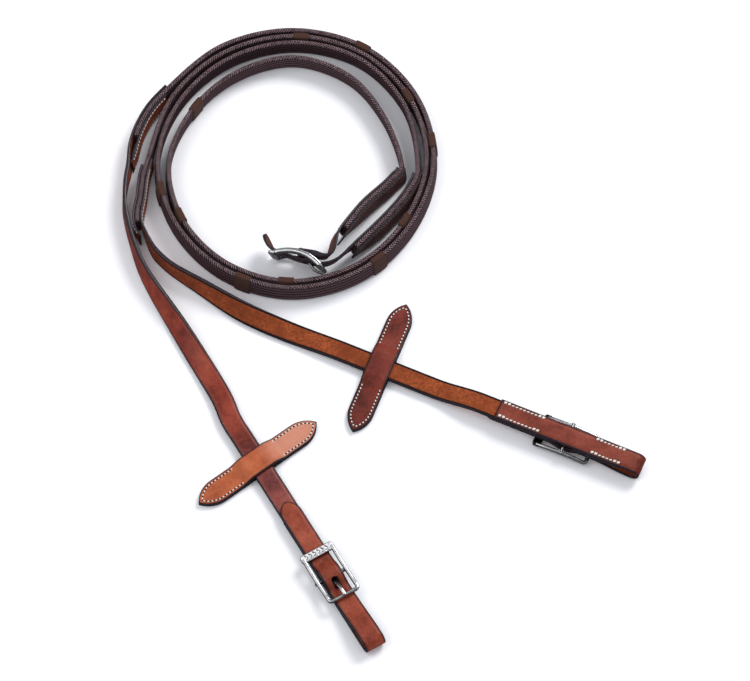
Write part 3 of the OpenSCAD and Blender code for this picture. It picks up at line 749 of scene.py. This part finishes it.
def polished_steel(name):
    """Cast and polished stainless steel, with fine wear.

    Meshes may carry two values: 1 where a bright flat gets a painted highlight, and 1 where a
    dark groove or side gets painted shade.
    """
    m = Shader(name, metal=1.0)
    wear = m.noise(260.0, 5.0, 0.6)
    color = m.ramp(wear, (0.3, (0.44, 0.44, 0.455)), (0.7, (0.62, 0.62, 0.63)))
    # Painted highlight: a flat top turned near white.
    color = m.mix(m.attr("plate"), color, (0.93, 0.93, 0.94))
    # Painted shade: grooves, sides and underside turned near black.
    color = m.mix(m.attr("grime"), color, (0.02, 0.018, 0.018))
    m.bump(m.noise(90.0, 2.0), 0.03, 0.3)
    return m.done(color, wear * 0.14 + 0.13)


def painted_hole_shade(name):
    """Painted shade of an awl hole: near black, on domes laid over the leather."""
    m = Shader(name)
    color = m.ramp(m.noise(900.0), (0.3, (0.006, 0.004, 0.004)), (0.7, (0.02, 0.012, 0.01)))
    return m.done(color, 0.95)


RED = grain_leather("leather_red_brown", (0.36, 0.085, 0.046), (0.26, 0.048, 0.025),
                    (0.12, 0.020, 0.011))
# A darker copy of the red-brown leather, as painted shade on the right bit billet.
RED_SHADED = grain_leather("leather_brick", (0.27, 0.058, 0.033), (0.195, 0.034, 0.018),
                      (0.09, 0.014, 0.008))
MAROON = grain_leather("leather_maroon", (0.215, 0.042, 0.026), (0.160, 0.025, 0.016),
                       (0.070, 0.011, 0.008))
PLUM = grain_leather("leather_plum_brown", (0.33, 0.090, 0.070), (0.235, 0.052, 0.042),
                     (0.105, 0.022, 0.020), 0.4, 0.2, far=(0.95, 0.62, 0.40))
# The paler half of the left stop is a painted highlight.
ORANGE = grain_leather("leather_orange_brown", (0.52, 0.155, 0.068), (0.41, 0.098, 0.036),
                       (0.26, 0.056, 0.020), 0.5, 0.15, highlight_tint=(0.60, 0.28, 0.20))
DARK = grain_leather("leather_dark", (0.165, 0.080, 0.082), (0.105, 0.046, 0.048),
                     (0.042, 0.017, 0.018), 0.45, 0.12)
TAN_TONES = (0.37, 0.088, 0.027), (0.235, 0.047, 0.0145), (0.10, 0.018, 0.006)
TAN = flesh_leather("leather_back_tan", *TAN_TONES)
TAN_INKED = flesh_leather("leather_back_tan_inked", *TAN_TONES, rim=1.5)
BROWN_BACK = flesh_leather("leather_back_brown", (0.17, 0.045, 0.028), (0.105, 0.026, 0.016),
                           (0.045, 0.012, 0.008))
INK = ink("edge_ink")
WEB = knit_web("ribbed_web")
TAPE = tape("hand_stop_tape")
WHITE = thread("thread_white", (0.97, 0.96, 0.93), (0.68, 0.64, 0.58))
UMBER = thread("thread_brown", (0.36, 0.26, 0.23), (0.10, 0.055, 0.045))
STEEL = polished_steel("polished_steel")
# Painted shade for the stitch holes.
HOLE_SHADE = painted_hole_shade("awl_hole")
HAND_LEATHER = [DARK, BROWN_BACK, INK]


# ---------------------------------------------------------------- stitches
def stitch_mesh(name, spots, mat, length=1.9, radius=0.46, slant=10):
    """Raised stitches. spots holds (place, along, normal) for each one."""
    verts, faces, sx, sy = [], [], [], []
    shape = [(-0.5, 0.35), (-0.42, 0.75), (-0.2, 1.0), (0.2, 1.0), (0.42, 0.75), (0.5, 0.35)]
    sides = 8
    for p, t, n in spots:
        side = np.cross(n, t)
        d = t * cos(slant) + side * sin(slant)
        side = np.cross(n, d)
        base = len(verts)
        for x, r in shape:
            mid = p + d * x * length - n * 0.1 * (2 * x) ** 4
            for a in circle(sides):
                verts.append(mid + radius * r * (cos(a) * side + 0.8 * sin(a) * n))
                sx.append(x * length)
                sy.append(a / 90.0)
        faces += bands(len(shape), sides, base)
        faces += [tuple(range(i, i + sides)) for i in (base, len(verts) - sides)]
    return make(name, verts, faces, [mat], attrs={"sx": sx, "sy": sy})


def hole_shade_mesh(name, spots, radius=0.8):
    """Painted shade where the thread goes down: dark, very low domes on the leather."""
    verts, faces = [], []
    sides, low, high = 10, -0.12, 0.055
    for p, t, n in spots:
        side = np.cross(n, t)
        base = len(verts)
        for r, h in ((1.0, low), (0.95, 0.03), (0.5, 0.05)):
            for a in circle(sides):
                verts.append(p + radius * r * (1.15 * cos(a) * t + 0.85 * sin(a) * side) + h * n)
        faces += bands(3, sides, base)
        top = len(verts)
        verts += [p + high * n, p + low * n]
        for j in range(sides):
            k = (j + 1) % sides
            faces += [(top - sides + j, top - sides + k, top), (base + j, base + k, top + 1)]
    return make(name, verts, faces, [HOLE_SHADE])


def row_spots(p, t, n):
    """Stitch places, and the holes between them, along a row of points with normals."""
    s = lengths(p)
    count = max(int(round(s[-1] / STITCH_PITCH)), 1)

    def at(q):
        return list(zip(lookup(q, s, p), unit(lookup(q, s, t)), unit(lookup(q, s, n))))
    pitch = s[-1] / count
    return at(pitch * (np.arange(count) + 0.5)), at(pitch * np.arange(count + 1))


def all_spots(rows):
    """The stitch places of several rows, and the hole places."""
    pairs = [row_spots(*row) for row in rows]
    return sum((a for a, _ in pairs), []), sum((b for _, b in pairs), [])


def sew(name, rows, mat, body, length=1.9, radius=0.46):
    """Rows of stitches with painted shade at their holes, riding on a body."""
    spots, gaps = all_spots(rows)
    parts = [stitch_mesh(name, spots, mat, length, radius), hole_shade_mesh(name, gaps)]
    put(join(name, parts), body, name)


# ---------------------------------------------------------------- straps and web
def beside(rein, s):
    """0 on plain leather and 1 where the leather lies on the web."""
    return ease(s, rein.web_a - 30, rein.web_a - 6)


def outside(e, leather):
    """Distance from a rein's middle to a layer on top of leather (e = 0) or web (e = 1)."""
    return (leather / 2 + GAP) * (1 - e) + (WEB_T / 2 + GAP) * e


def skived(s, rein):
    """Thickness of a splice cover, pared down at its free end."""
    return SKIVE_T * (0.55 + 0.45 * ease(s, rein.splice[0], rein.splice[0] + 10))


def main_strap(rein, side, name, mats, place):
    """The strap of a half rein, from its bit buckle to its end on the web."""
    s = np.concatenate([spread(18, 106, 1.0)[:-1], spread(106, rein.splice[1], 2.0)])
    e = beside(rein, s)
    p, _, across, out = rein.station(s)
    obj = strap(name, p, across, out, STRAP_W, STRAP_T + (SKIVE_T - STRAP_T) * e, mats, s,
                off=side * BESIDE_WEB * e)
    cut(obj, oval_cutter(place, -4.5, 12, -6, 7))
    put(obj, "reins", name)


def cover_piece(rein, side, name, mats):
    """The second leather of a splice, on the other side of the web."""
    s = spread(rein.splice[0], rein.splice[1] - 6, 1.5)
    t = skived(s, rein)
    off = side * (outside(beside(rein, s), STRAP_T) + t / 2)
    p, _, across, out = rein.station(s)
    put(strap(name, p, across, out, STRAP_W, t, mats, s, off=off), "reins", name)


def web_piece(rein, name):
    """Ribbed web: ribs along each face, and a rounded knitted edge."""
    s = spread(rein.web_a, rein.web_b, 2.0)
    p, _, across, out = rein.station(s)
    half, t, r = WEB_W / 2, WEB_T / 2, WEB_R
    ys = np.linspace(half - r, -half + r, 8 * RIBS + 1)
    rib = 0.45 * (1 - np.abs(sin(180 * (ys + RIB_SPAN / 2) / RIB_PITCH)) ** 0.5)
    a = np.array([60, 36, 12, -12, -36, -60])
    side = [(-half + r - r * cos(v), t * 0.97 * sin(v)) for v in a]
    prof = ([(y, t - c) for y, c in zip(ys, rib)] + side
            + [(y, -t + c) for y, c in zip(-ys, rib)] + [(-y, -z) for y, z in side])
    prof = np.array(prof)
    rings = [ring(a, prof[:, 0], b, prof[:, 1], c) for a, b, c in zip(p, across, out)]
    verts, faces, _ = loft(rings)
    attrs = {"sx": capped(np.repeat(s, len(prof)), s[0], s[-1]),
             "sy": capped(np.tile(prof[:, 0], len(s))),
             "sz": capped(np.tile(prof[:, 1], len(s)))}
    put(make(name, verts, faces, [WEB], attrs=attrs, sharp=60), "reins", name)


def squared(w, h, a, power):
    """Points at angles a round an oval of half sizes w and h, squarer for a smaller power."""
    c, v = cos(a), sin(a)
    return w * np.sign(c) * np.abs(c) ** power, h * np.sign(v) * np.abs(v) ** power


def hand_stop_piece(rein, angles, name):
    """Sewn tape sleeves, a little puffed, with turned ends."""
    sides = 64
    ang = circle(sides) + 180 / sides
    u = np.concatenate([[-0.5, -0.5], np.linspace(-0.49, 0.49, 9), [0.5, 0.5]])
    puff = HAND_STOP_T * (0.86 + 0.14 * cos(np.linspace(-90, 90, 9)))
    wall = HAND_STOP_CLEAR + np.concatenate([[-0.25, 0.45], puff, [0.45, -0.25]])
    objs = []
    for a in angles:
        s = snap(rein.at_angle(a)) + u * HAND_STOP_L
        p, _, across, out = rein.station(s)
        rings, sy = [], []
        for i in range(len(s)):
            y, z = squared(WEB_W / 2 + wall[i], WEB_T / 2 + wall[i], ang, 0.35)
            rings.append(ring(p[i], y, across[i], z, out[i]))
            sy.append(y + z)
        lining = [p[i] + (rings[i] - p[i]) * 0.995 for i in (-1, 0)]
        verts, faces, _ = loft(rings + lining, closed=True)
        attrs = {"sx": np.repeat(np.append(s, [s[-1], s[0]]), sides),
                 "sy": np.concatenate(sy + [sy[-1], sy[0]])}
        objs.append(make(name, verts, faces, [TAPE], attrs=attrs, sharp=50))
    put(join(name, objs), "reins", name)


def rein_rows(rein, s, offs, side):
    """Two stitch rows along a rein, on the face at the given distances out of its middle."""
    p, t, across, out = rein.station(s)
    return [(p + y * across + (offs * side)[:, None] * out, t, out * side)
            for y in (-ROW_Y, ROW_Y)]


def splice_stitches(rein, strap_side, name):
    """Two stitch rows on either face of a splice."""
    s = spread(rein.splice[0] + 3, rein.splice[1] - 8, 2.0)
    e = beside(rein, s)
    cover = outside(e, STRAP_T) + skived(s, rein)
    face = BESIDE_WEB * e + (STRAP_T + (SKIVE_T - STRAP_T) * e) / 2
    rows = rein_rows(rein, s, face, strap_side) + rein_rows(rein, s, cover, -strap_side)
    sew(name, rows, WHITE, "reins", 2.0, 0.58)


# ---------------------------------------------------------------- bit ends
def oval_cutter(place, x0, x1, z0, z1, w=TONGUE_W + 1.2):
    """A closed oval peg to cut a tongue's hole."""
    a = np.linspace(-90, 90, 13)
    r = w / 2
    right = np.column_stack([x1 - r + r * cos(a), r * sin(a)])
    left = np.column_stack([x0 + r - r * cos(a), -r * sin(a)])
    oval = np.vstack([right, left])
    rings = [place.point(np.column_stack([oval, np.full(len(oval), z)])) for z in (z0, z1)]
    verts, faces, _ = loft(rings)
    return make("cutter", verts, faces, [INK])


def billet_piece(place, reach, name, face):
    """The billet: under the strap, round the bit loop, back over the bar to its point."""
    x_axis = reach - LOOP_R - BILLET_T
    z_axis = BACK_LOW + LOOP_R + BILLET_T
    mid = LOOP_R + BILLET_T / 2
    low = [(x, BACK_LOW + BILLET_T / 2) for x in np.linspace(-BACK_START, x_axis, 60)]
    loop = [(x_axis + mid * cos(a), z_axis + mid * sin(a)) for a in np.linspace(-90, 90, 25)[1:]]
    xs = np.linspace(x_axis, -TIP_REACH, 140)[1:]
    top = TOP_LOW + over_bar(xs) + (z_axis + LOOP_R - TOP_LOW) * ease(xs, 19, x_axis) + BILLET_T / 2
    run = np.array(low + loop + list(zip(xs, top)))
    s = lengths(run)
    q = tip_spread(0, s[-1], BIT_TIP, 1.0)
    p, across, out = path_frames(lookup(q, s, run), place)
    w = 2 * point_half(s[-1] - q, STRAP_W, BIT_TIP)
    obj = strap(name, p, across, -out, w, BILLET_T, [face, TAN, INK], q)
    cut(obj, oval_cutter(place, 3.2, 12, -0.6, 12))
    put(obj, "reins", name)


def bit_stitches(place, name):
    """Two stitched lengths on the back layer, doubled at their ends."""
    rows, row_y = [], 5.7
    for a, b in ((-53, -20), (20, 43.5)):
        for y in (-row_y, row_y):
            x = spread(a, b, 1.0)
            pts = place.point(np.column_stack([x, np.full(len(x), y), np.full(len(x), BACK_LOW)]))
            rows.append((pts, np.broadcast_to(place.x, pts.shape),
                         np.broadcast_to(-place.z, pts.shape)))
    spots, gaps = all_spots(rows)
    for p, t, n in rows:
        side = np.cross(n[0], t[0])
        for end, way in ((0, 1), (-1, -1)):
            for i in (0.5, 1.5):
                q = p[end] + t[0] * way * i * STITCH_PITCH + side * 0.75
                spots.append((q, t[0], n[0]))
    put(join(name, [stitch_mesh(name, spots, WHITE, 2.3, 0.52), hole_shade_mesh(name, gaps, 0.6)]),
        "reins", name)


def rail_height(x, rise, sag):
    """Height of a side rail, which sags in a curve between keeper and front bar."""
    reach = np.where(x > 0, BAR_TO_FRONT, BAR_TO_KEEPER)
    return rise - sag * (1 - (x / reach) ** 2)


def frame_bars(place, rise, sag):
    """Side rails and front bar as one bent bar, with a deeper section on the rails."""
    deep = 2.1 if sag > 3 else 1.7
    corner = 2.2
    xs = np.linspace(-BAR_TO_KEEPER, BAR_TO_FRONT - corner, 40)
    a = np.linspace(0, 90, 9)[1:]
    bend = [(BAR_TO_FRONT - corner + corner * sin(v), RAIL_Y - corner + corner * cos(v))
            for v in a]
    flat = [(x, RAIL_Y) for x in xs] + bend
    flat += [(x, -v) for x, v in reversed(flat)]
    flat = resample(np.array(flat), 0.6)
    z = rail_height(flat[:, 0], rise, sag)
    path = place.point(np.column_stack([flat, z]))
    d = unit(np.gradient(path, axis=0))
    side = unit(np.cross(d, place.z))
    top = unit(np.cross(side, d))
    front = ease(flat[:, 0], BAR_TO_FRONT - 4, BAR_TO_FRONT)
    rings = []
    for i, q in enumerate(path):
        y, z = squared(1.4 + 0.05 * front[i], deep - (deep - 1.45) * front[i], circle(24), 0.75)
        rings.append(ring(q, y, side[i], z, top[i]))
    verts, faces, _ = loft(rings)
    return make("bars", verts, faces, [STEEL], sharp=60)


def keeper_band(place, rise):
    """Keeper: domed, with rounded ends and plain chevron grooves between two rims; a painted
    highlight on its top, and painted shade in its grooves, on its sides and underneath.
    """
    half, hw, low = BUCKLE_IN / 2 + RAIL_D - 0.2, KEEPER_W / 2 + 0.2, rise - RAIL_D / 2 + 0.45
    dome, dome_run, taper_run, lip, soft = 2.04, 0.9, 2.6, 0.45, 0.15
    pitch, slope, groove_w, depth = 3.3, 0.8, 0.17, 0.5
    xs = np.linspace(-hw + 0.5, hw - 0.5, 23)
    rings, plate, grime = [], [], []
    for y in np.linspace(-half, half, 161):
        to_end = half - abs(y)
        lift = math.sqrt(max(1 - (1 - min(1.0, to_end / dome_run)) ** 2, 0.0))
        crown = low + 0.25 + dome * lift
        field = (to_end > 3.2) * (np.abs(xs) < hw - 1.1)
        flute = np.abs(((y + np.abs(xs) * slope) / pitch) % 1.0 - 0.5)
        groove = field * np.clip(1 - flute / groove_w, 0, 1)
        slim = math.sqrt(1 - 0.7 * max(0.0, 1 - to_end / taper_run) ** 2)
        top = crown - depth * groove + 0.12 * (1 - (xs / hw) ** 2)
        wall = [(hw - soft, crown - soft), (hw, crown - lip), (hw, low + 0.35)]
        prof = np.array([(-x, z) for x, z in reversed(wall)] + list(zip(xs, top)) + wall
                        + [(hw - 0.35, low), (-hw + 0.35, low)])
        # Painted highlight on the top; painted shade in the grooves, on the sides and underneath.
        plate += [0.0] * 3 + [1.0] * len(xs) + [0.0] * 5
        grime += [1.0, 1.0, 0.2] + list(groove * 0.85) + [0.2, 1.0, 1.0] + [1.0, 1.0]
        rings.append(place.point(np.column_stack([prof[:, 0] * slim - BAR_TO_KEEPER,
                                                  np.full(len(prof), y), prof[:, 1]])))
    verts, faces, _ = loft(rings)
    attrs = {"plate": capped(plate), "grime": capped(grime)}
    return make("keeper", verts, faces, [STEEL], attrs=attrs, sharp=35)


def buckle(place, rise, sag, name):
    """A cast frame: rails, front bar, fluted keeper, centre bar and its bosses."""
    parts = [keeper_band(place, rise), frame_bars(place, rise, sag)]
    bar = place.point([(0, y, 0) for y in np.linspace(-RAIL_Y - 0.6, RAIL_Y + 0.6, 30)])
    parts.append(tube("bar", bar, BAR_D / 2, [STEEL], 20, place.z))
    z = np.linspace(-0.4, rise - sag, 10)
    for sign in (-1, 1):
        post = place.point([(0, sign * RAIL_Y, v) for v in z])
        parts.append(tube("post", post, np.linspace(1.75, 1.3, len(z)), [STEEL], 16, place.x))
    put(join(name, parts), "reins", name)


def turned(place, prof, n):
    """A closed (radius, side) profile turned about a centre bar, in n steps."""
    return loft([place.point([(r * cos(a), y, r * sin(a)) for r, y in prof]) for a in circle(n)],
                closed=True)


def tongue(place, rise, name, body):
    """A bent tongue: eye round the centre bar, round arm, tip on the front bar."""
    z_end = rise + RAIL_D / 2 + 0.05 + TONGUE_T / 2
    knots = [(0.6, 1.2), (4.5, 2.2 + rise * 0.1), (8.5, z_end * 0.62), (12.5, z_end * 0.93),
             (16, z_end + 0.15), (BAR_TO_FRONT + 1.6, z_end)]
    arm = resample(catmull(knots, 8), 0.5)
    arm = np.vstack([arm, arm[-1] + (arm[-1] - arm[-2]) * 0.8])
    p, across, out = path_frames(arm, place)
    u = np.linspace(0, 1, len(p))
    to_tip = (1 - u) / 0.06
    w = (TONGUE_W / 2) * (0.82 + 0.18 * ease(u, 0.9, 0.2)) * np.sqrt(np.clip(to_tip, 0.02, 1))
    t = (TONGUE_T / 2) * np.sqrt(np.clip(to_tip, 0.05, 1))
    a = circle(20)
    rings = [ring(p[i], w[i] * cos(a), across[i], t[i] * sin(a), out[i]) for i in range(len(p))]
    verts, faces, _ = loft(rings)
    parts = [make("arm", verts, faces, [STEEL], sharp=60)]
    inner, outer, soft = BAR_D / 2 + TONGUE_CLEAR, EYE_R, 0.35
    half = TONGUE_W / 2
    prof = [(inner, -half + 0.1), (inner, half - 0.1), (inner + 0.15, half), (outer - soft, half),
            (outer, half - soft), (outer, -half + soft), (outer - soft, -half),
            (inner + 0.15, -half)]
    verts, faces, _ = turned(place, prof, 40)
    parts.append(make("eye", verts, faces, [STEEL], sharp=40))
    put(join(name, parts), body, name)


# ---------------------------------------------------------------- rein stops
def bulge(x):
    """How far the top layer of a stop rises over the strap, at x along the stop."""
    rise = STRAP_REST + STRAP_T + STOP_CLEAR - STOP_T - GAP
    return rise * (1 - ease(np.abs(x), TUNNEL, TUNNEL + STOP_RAMP))


def stop_layer(place, half, name, body, mats, height):
    """One leather layer of a rein stop; height gives the middle of the layer along it."""
    near = tip_spread(0, half, STOP_TIP, 0.8)
    x = np.concatenate([-near[:0:-1], near])
    p, across, out = path_frames(np.column_stack([x, height(x)]), place)
    w = np.maximum(2 * point_half(half - np.abs(x), STOP_W, STOP_TIP), 0.1)
    put(strap(name, p, -across, out, w, STOP_T, mats, x, crease=0.0), body, name)


def stop_rows(place, half, inset=2.5):
    """Stitch rows round both halves of a rein stop, inside its outline."""
    rows = []
    for side in (-1, 1):
        x = np.concatenate([np.linspace(TUNNEL + 8, half - STOP_TIP, 20)[:-1],
                            half - STOP_TIP * (1 - np.linspace(0, 1, 40)) ** 1.5])
        y = point_half(half - x, STOP_W, STOP_TIP)
        d = unit(np.column_stack([np.gradient(x), np.gradient(y)]))
        px, py = x + inset * d[:, 1], y - inset * d[:, 0]
        keep = py > 0.3
        px, py = px[keep], py[keep]
        px, py = np.concatenate([px, px[::-1]]), np.concatenate([py, -py[::-1]])
        pts = resample(np.column_stack([side * px, py]), 0.5)
        z = 2 * STOP_T + GAP + bulge(pts[:, 0])
        loc = np.column_stack([pts, z])
        t = unit(np.gradient(loc, axis=0))
        n = np.broadcast_to(np.array([0, 0, 1.0]), loc.shape)
        rows.append((place.point(loc), place.turn(t), place.turn(n)))
    return rows


def rein_stop(place, length, word, face):
    """A rein stop: a base under the strap, a top over it, and their stitches."""
    body, half = word + "_stop", length / 2
    stop_layer(place, half, word + "_stop_base", body, [TAN, face, INK],
               lambda x: STOP_T / 2 + 0 * x)
    stop_layer(place, half, word + "_stop_top", body, [face, TAN, INK],
               lambda x: 1.5 * STOP_T + GAP + bulge(x))
    sew(word + "_stop_stitching", stop_rows(place, half), WHITE, body, 1.6)


# ---------------------------------------------------------------- hand end
def hand_off(rein, s):
    """1 where hand leather lies on the web, and 0 past the web's end."""
    return 1 - ease(s, rein.web_b + 3, rein.web_b + 27)


def hand_billet_piece():
    """The left rein's hand strap, with its point through the hand buckle."""
    end = LEFT.end - 0.3
    s = tip_spread(LEFT.hand, end, HAND_TIP, 1.2)
    e = hand_off(LEFT, s)
    p, _, across, out = LEFT.station(s)
    w = 2 * point_half(end - s, STRAP_W, HAND_TIP)
    obj = strap("hand_billet", p, across, out, w, BILLET_T + (SKIVE_T - BILLET_T) * e,
                HAND_LEATHER, s, off=-BESIDE_WEB * e)
    cut(obj, oval_cutter(HAND, 2, 12, 1, 9, TONGUE_W + 1.4))
    put(obj, "reins", "hand_billet")


def hand_cover_piece(rein, name):
    """The thin second leather on the other side of the web's hand end."""
    s = spread(rein.hand, rein.cover, 1.5)
    off = outside(hand_off(rein, s), BILLET_T) + HAND_COVER_T / 2
    p, _, across, out = rein.station(s)
    put(strap(name, p, across, out, STRAP_W, HAND_COVER_T, HAND_LEATHER, s, off=off), "reins",
        name)


def hand_chape_piece():
    """The chape: a strap whose end opens into a rolled eye round the centre bar."""
    fold = BAR_D / 2 + GAP + 1.7
    s = spread(RIGHT.hand, RIGHT.bar - 1, 1.2)
    e = ease(s, RIGHT.bar - 22, RIGHT.bar - 5)
    h = hand_off(RIGHT, s)
    t = BILLET_T + (SKIVE_T - BILLET_T) * h
    p, _, across, out = RIGHT.station(s)
    obj = strap("hand_chape", p, across, out, STRAP_W, t + (1.9 * fold - t) * e,
                HAND_LEATHER, s, off=-BESIDE_WEB * h * (1 - e))
    half = STRAP_W / 2 - 0.05
    prof = [(fold, -half + 0.4), (fold - 0.4, -half), (BAR_D / 2 + GAP, -half),
            (BAR_D / 2 + GAP, half), (fold - 0.4, half), (fold, half - 0.4)]
    verts, faces, tags = turned(HAND, prof, 48)
    kind = [2 if j in (0, 1, 3, 4) else 0 for j in tags]
    n = len(verts)
    eye = make("eye", verts, faces, [DARK, DARK, INK], kind,
               {"sx": np.zeros(n), "sy": np.zeros(n), "half": np.full(n, 8.0)}, sharp=40)
    bore = tube("bore", HAND.point([(0, y, 0) for y in np.linspace(-12, 12, 8)]),
                BAR_D / 2 + GAP, [INK], 32, HAND.z)
    cut(obj, bore)
    cut(obj, oval_cutter(HAND, -5, 10, -EYE_R - 0.1, 9, TONGUE_W + 1.0))
    cut(eye, oval_cutter(HAND, -5, 10, -EYE_R - 0.1, 9, TONGUE_W + 1.0))
    put(join("hand_chape", [obj, eye]), "reins", "hand_chape")


def hand_stitches(rein, name):
    """Two stitch rows on either face of a hand strap."""
    s = spread(rein.hand + 4, rein.cover - 4, 2.0)
    e = hand_off(rein, s)
    front = outside(e, BILLET_T) + HAND_COVER_T
    back = BESIDE_WEB * e + (BILLET_T + (SKIVE_T - BILLET_T) * e) / 2
    rows = rein_rows(rein, s, front, 1) + rein_rows(rein, s, back, -1)
    sew(name, rows, UMBER, "reins")


# ---------------------------------------------------------------- build
main_strap(LEFT, 1, "left_rein_strap", [PLUM, TAN, INK], LEFT_BIT)
main_strap(RIGHT, -1, "right_rein_strap", [TAN_INKED, RED, INK], RIGHT_BIT)
cover_piece(LEFT, -1, "left_splice_cover", [TAN, RED, INK])
cover_piece(RIGHT, 1, "right_splice_cover", [RED, TAN, INK])
splice_stitches(LEFT, 1, "left_splice_stitching")
splice_stitches(RIGHT, -1, "right_splice_stitching")
web_piece(LEFT, "left_web")
web_piece(RIGHT, "right_web")
hand_stop_piece(LEFT, (117, 170, 230, 290, 347), "left_hand_stops")
hand_stop_piece(RIGHT, (93, 148, 209, 271, 333, 393), "right_hand_stops")
# The right bit billet takes the darker copy of the red-brown leather: painted shade.
for bit, reach, word, face in ((LEFT_BIT, LOOP_REACH[0], "left", RED),
                               (RIGHT_BIT, LOOP_REACH[1], "right", RED_SHADED)):
    billet_piece(bit, reach, word + "_bit_billet", face)
    bit_stitches(bit, word + "_bit_stitching")
    buckle(bit, BIT_RISE, 1.5, word + "_bit_buckle")
    tongue(bit, BIT_RISE, word + "_bit_tongue", word + "_tongue")
rein_stop(LEFT_STOP, STOP_L[0], "left", ORANGE)
rein_stop(RIGHT_STOP, STOP_L[1], "right", MAROON)
hand_billet_piece()
hand_cover_piece(LEFT, "hand_billet_cover")
hand_stitches(LEFT, "hand_billet_stitching")
hand_chape_piece()
hand_cover_piece(RIGHT, "hand_chape_cover")
hand_stitches(RIGHT, "hand_chape_stitching")
buckle(HAND, HAND_RISE, HAND_RISE - 0.6, "hand_buckle")
tongue(HAND, HAND_RISE, "hand_tongue", "hand_tongue")


# ---------------------------------------------------------------- stage
def floor():
    """A pale sweep of floor, plain to the horizon, and darker where polished steel mirrors it."""
    size = 6.0
    mesh = bpy.data.meshes.new("floor")
    mesh.from_pydata([(-size, -size, 0), (size, -size, 0), (size, size, 0), (-size, size, 0)],
                     [], [(0, 1, 2, 3)])
    m = Shader("floor_paper")
    tint = m.ramp(m.noise(3.0), (0.3, (0.93, 0.93, 0.955)), (0.7, (0.95, 0.95, 0.97)))
    tint = m.mix(m.node("LightPath", out="Is Glossy Ray") * 0.85, tint, (0.06, 0.06, 0.07))
    mesh.materials.append(m.done(tint, 0.75, Specular_IOR_Level=0.2))
    return link("floor", mesh)


def softbox(name, place, size, watts):
    """A round soft light at a place in metres, turned to the middle of the reins."""
    light = bpy.data.lights.new(name, "AREA")
    light.shape, light.size, light.energy = "DISK", size, watts
    obj = link(name, light)
    obj.location = place
    obj.rotation_euler = (-Vector(place)).to_track_quat("-Z", "Y").to_euler()
    return obj


def camera():
    """Seen from the front and above, from three metres with a long lens."""
    raised, distance = 63.0, 3.0
    cam = bpy.data.cameras.new("camera")
    cam.lens, cam.sensor_width, cam.clip_end = 194.4, 36.0, 50.0
    obj = link("camera", cam)
    aim = Vector((-4, -5, 0)) * MM
    obj.location = aim + distance * Vector((0, -cos(raised), sin(raised)))
    obj.rotation_euler = (math.radians(90 - raised), 0, 0)
    bpy.context.scene.camera = obj
    return obj


def world_light(strength, gloss):
    """Even white light, with dark and bright bands, from back to front, for steel to mirror."""
    world = bpy.data.worlds.new("studio")
    world.use_nodes = True
    m = Nodes(world.node_tree)
    even = m.node("Background", {"Color": (0.93, 0.955, 1.0, 1.0), "Strength": strength})
    way = m.node("SeparateXYZ", {0: m.node("TexCoord", out="Generated")}, "Y")
    bands = ((0.0, 0.03), (0.36, 0.03), (0.42, 1.3), (0.46, 1.3), (0.51, 0.02), (0.64, 0.03),
             (0.70, 1.1), (0.77, 1.1), (0.83, 0.03), (1.0, 0.15))
    color = m.ramp(way * 0.5 + 0.5, *((at, (v, v, v * 1.03)) for at, v in bands))
    banded = m.node("Background", {"Color": color, "Strength": gloss})
    glossy = m.node("LightPath", out="Is Glossy Ray")
    m.put(m.tree.nodes["World Output"].inputs["Surface"],
          m.node("MixShader", {0: glossy, 1: even, 2: banded}))
    bpy.context.scene.world = world


floor()
camera()
softbox("key", (1.0, 1.2, 1.6), 1.1, 33.0)
softbox("fill", (-1.2, -0.2, 1.7), 1.6, 9.0)
world_light(0.72, 0.9)
bpy.context.scene.view_settings.view_transform = "Standard"
